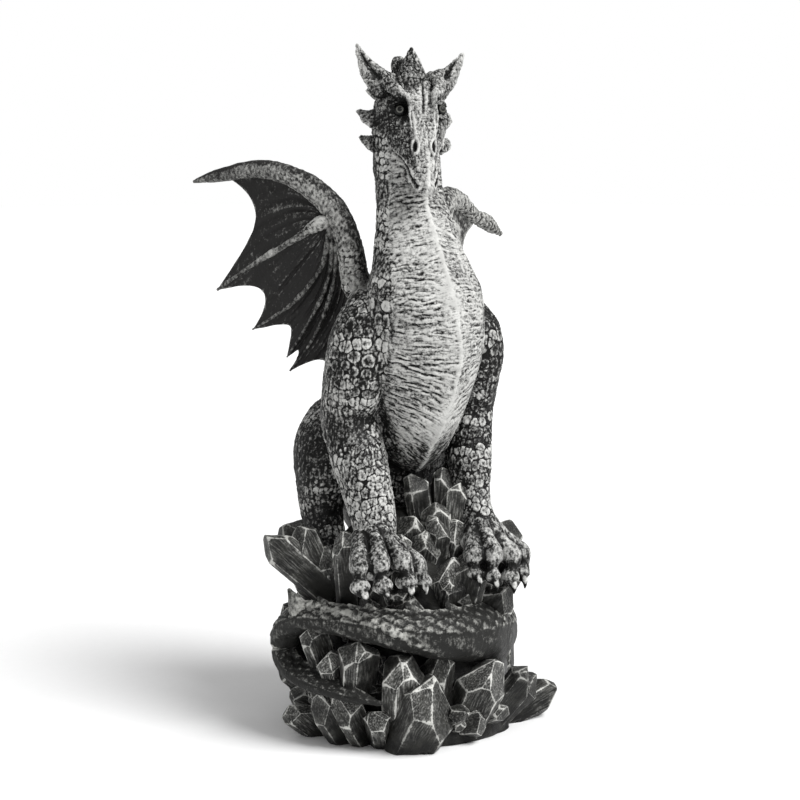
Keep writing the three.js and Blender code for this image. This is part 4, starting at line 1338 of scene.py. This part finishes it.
# ---- wings ----
# Each wing is a casting of its own, glued to a stump on the shoulder: a scaly arm, bony fingers and a
# sheet of skin between them that ends in scallops. The right one is spread, the left one folded down.
# Places in a wing are outward, up and toward the front from its root.
WING_SPAN = 153
WING_ARM = [
    [-4, 2.3, 0.5, 13.2, 13.2], [0, 14, 2, 12.6, 12.6], [3, 36, 4, 11.5, 11.5], [13, 65, 6, 11, 11],
    [31, 85, 8, 10.5, 10], [58, 100, 8, 9, 8.5], [89, 105, 6, 8, 7], [119, 100, 3, 6.5, 6],
    [138, 96, 1, 4.5, 4.5], [153, 92, 0, 1.2, 1.2],
]
WING_FINGERS = [
    [[14, 60, 4], [29, 81, 6], [52, 97, 6], [76, 102, 5], [98, 102, 4], [119, 97, 3]],
    [[22, 62, 8], [32, 56, 16], [53, 43, 17], [86, 24, 14], [108, 10, 10], [129, -4, 6]],
    [[22, 58, 6], [28, 25, 4], [40, 5, 5], [58, -14, 4], [77, -27, 3], [97, -39, 2]],
    [[20, 52, 4], [23, 20, 0], [29, -2, 0], [39, -22, 0], [51, -42, 0], [65, -63, 0]],
    [[16, 46, 2], [20, 12, -2], [26, -12, -2], [34, -33, -2], [47, -55, -2], [62, -75, 0]],
    [[6, 26, -1], [7, 4, -4], [9, -18, -6], [11, -38, -6], [15, -58, -6], [22, -74, -4]],
]
# no bone in the first and last: they are the skin's edges, along the arm and by the body
FINGER_RADII = [0, 3.6, 2.7, 2.3, 2.3, 0]
SCALLOPS = [0.3, 0.26, 0.2, 0.12, 0.12]
# each side's node, and how far the wing's end is let down and curled forward
WING_SETS = {-1: ("right_wing", 0, 0), 1: ("left_wing", 58, 35)}
SKIN_THICKNESS = 3.6
WING_BLACK = (0.018, 0.0175, 0.017, 1)
WING_GREY = (0.5, 0.5, 0.48, 1)
WING_TRIANGLES = 90000


def posed(points, droop, curl):
    """The wing's end let down and curled forward, by powers of the distance out along it."""
    share = np.maximum(points[..., 0], 0) / WING_SPAN
    lowered = points.copy()
    # it sags a little further before the middle and at two thirds of the way out
    sway = 0.15 * hump(share - 0.66, 0.16) + 0.14 * hump(share - 0.4, 0.16)
    lowered[..., 1] -= droop * (share ** 1.2 + sway)
    lowered[..., 2] += curl * share ** 3
    return lowered


def wing_skin(across_panel=36, along_finger=100):
    """The skin between the fingers: in each panel a point lies between the same points of two fingers,
    pulled back at the scallop by a sine and sagging by a sine, with wrinkles that run outward."""
    panels = []
    for panel, scallop in enumerate(SCALLOPS):
        last = panel == len(SCALLOPS) - 1
        f = np.linspace(0, 1, across_panel + 1)[: None if last else -1][:, None]
        reach = 1 - scallop * np.sin(np.pi * f) ** 0.8
        t = reach * np.linspace(0, 1, along_finger + 1)[None]
        a = curve(WING_FINGERS[panel], t.ravel()).reshape(*t.shape, 3)
        b = curve(WING_FINGERS[panel + 1], t.ravel()).reshape(*t.shape, 3)
        mixed = a + (b - a) * f[..., None]
        mixed[..., 2] -= 5 * np.sin(np.pi * f) * np.minimum(1, 3 * t)
        fan = [8 * (panel + f) + 1.4 * np.sin(4 * t + panel), 1.5 * t + 0 * f, 0 * t + 0 * f]
        fan = np.stack(fan, axis=-1)
        wrinkle = 1 - np.abs(clouds(fan.reshape(-1, 3), 1.0, 2, 71)).reshape(t.shape) * 1.8
        cross = 1 - np.abs(cloud(fan.reshape(-1, 3) * (0.5, 4.2, 1), 1.0, 75)).reshape(t.shape) * 1.8
        mixed[..., 2] += (2.0 * wrinkle + 0.6 * cross) * np.sin(np.pi * f) ** 0.5
        panels.append(mixed)
    return np.concatenate(panels)


def slab(front, back):
    """A closed sheet from the grids of its two faces, with a rim round all four sides."""
    rows, width = front.shape[:2]
    points = np.concatenate([front.reshape(-1, 3), back.reshape(-1, 3)])
    under = rows * width
    i, k = np.meshgrid(np.arange(rows - 1), np.arange(width - 1), indexing="ij")
    a = (i * width + k).ravel()
    b = a + width
    index = np.arange(rows * width).reshape(rows, width)
    rim = np.concatenate([index[0, :-1], index[:-1, -1], index[-1, :0:-1], index[:0:-1, 0]])
    beyond = np.roll(rim, -1)
    return points, np.concatenate([
        np.stack([a, b, b + 1], -1), np.stack([a, b + 1, a + 1], -1),
        np.stack([a, b + 1, b], -1) + under, np.stack([a, a + 1, b + 1], -1) + under,
        np.stack([rim, beyond, beyond + under], -1), np.stack([rim, beyond + under, rim + under], -1),
    ])


CLAW_JOINTS = [0.6, 0.68, 0.77]


def jointed(t, angle):
    """Narrow waists round the arm's end, where it turns to a jointed claw."""
    return -1.5 * sum(hump(t - joint, 0.012) for joint in CLAW_JOINTS) + 0 * angle


# the knob of bone where the second finger leaves the arm
KNUCKLE = np.array([34, 57, 14])
for side, (node, droop, curl) in WING_SETS.items():
    axes, root = wing_frame(side)
    arm = curve(WING_ARM, np.linspace(0, 1, 40))
    arm[:, :3] = posed(arm[:, :3], droop, curl)
    if side > 0:
        arm[:, 3:] *= 1 + 0.6 * fade(np.linspace(0, 1, 40), 0.76, 0.9)[:, None]
    shells = [swept(arm, 72, 260, (0, 0, 1), jointed if side > 0 else None)]
    skin_front = posed(wing_skin(), droop, curl)
    skin_back = skin_front - np.array([0, 0, SKIN_THICKNESS])
    shells.append(slab(skin_front, skin_back))
    for finger, radius in zip(WING_FINGERS, FINGER_RADII):
        if radius:
            share = np.linspace(0, 1, 32)
            bone = posed(curve(finger, share), droop, curl)
            knots = 1 + 0.5 * hump(share - 0.52, 0.03)
            if finger is WING_FINGERS[1]:
                knots = knots + 0.95 * hump(share - 0.13, 0.12)
            size = (radius * (1 - 0.72 * share) * knots)[:, None]
            shells.append(swept(np.hstack([bone, size, size]), 24, 120, (0, 0, 1)))
    points, triangles = joined(shells)
    out = normals(points, triangles)
    shell_of_point = np.repeat(np.arange(len(shells)), [len(shell[0]) for shell in shells])
    on_arm = (shell_of_point == 0) * 1.0
    on_skin = (shell_of_point == 1) * 1.0
    on_finger = (shell_of_point > 1) * 1.0
    scale_high = rosettes(points, 5.2, 83)[0]
    knuckle = hump(np.linalg.norm(points - KNUCKLE, axis=1), 12)
    to_tip = fade(points[:, 0], 55, 95) * (side < 0)
    rough = 0.4 * fibres(points, 84, 2.0, 3.0) + 0.5 * scale_high * fade(cloud(points, 18, 85), -0.2, 0.4)
    if side > 0:
        rough += 0.9 * cloud(points, 2.2, 87)
    coarse = on_arm * (1 - 0.8 * to_tip) + on_finger * (0.4 + 1.3 * knuckle) + 0.5 * on_skin * (side > 0)
    relief = coarse * (rough + 0.3 * cloud(points, 2.6, 81))
    relief += 0.4 * cloud(points, 8, 82)
    points = points + relief[:, None] * out
    lifted = proud_of(points, triangles, out, 6)
    away = unit(points[:, :2] - np.array([75, 30]))
    outer = (out[:, :2] * away).sum(1)
    # painted shade on the arm's outer side, turned away from the skin
    amount = on_arm * (0.43 - 0.08 * to_tip - 0.24 * fade(outer, 0.35, 0.75))
    amount += on_skin * (0.08 if side < 0 else 0.33) + on_finger * 0.3
    amount += 0.02 * knuckle * fade(out[:, 2], 0, 0.5) + 0.1 * cloud(points, 15, 86) + 0.06 * (side > 0)
    paint = brushed((0.9 - 0.35 * on_skin) * lifted, amount)
    points, triangles = placed((points, triangles), axes, root)
    wing = modelled(node + "_cast", points, triangles, paint=paint)
    thinned(wing, WING_TRIANGLES)
    wing_paint = dry_brushed(node + "_paint", WING_BLACK, WING_GREY, 0.75, fineness=1.3)
    wing.data.materials.append(wing_paint.material)
    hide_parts(node)
    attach(wing, "root")
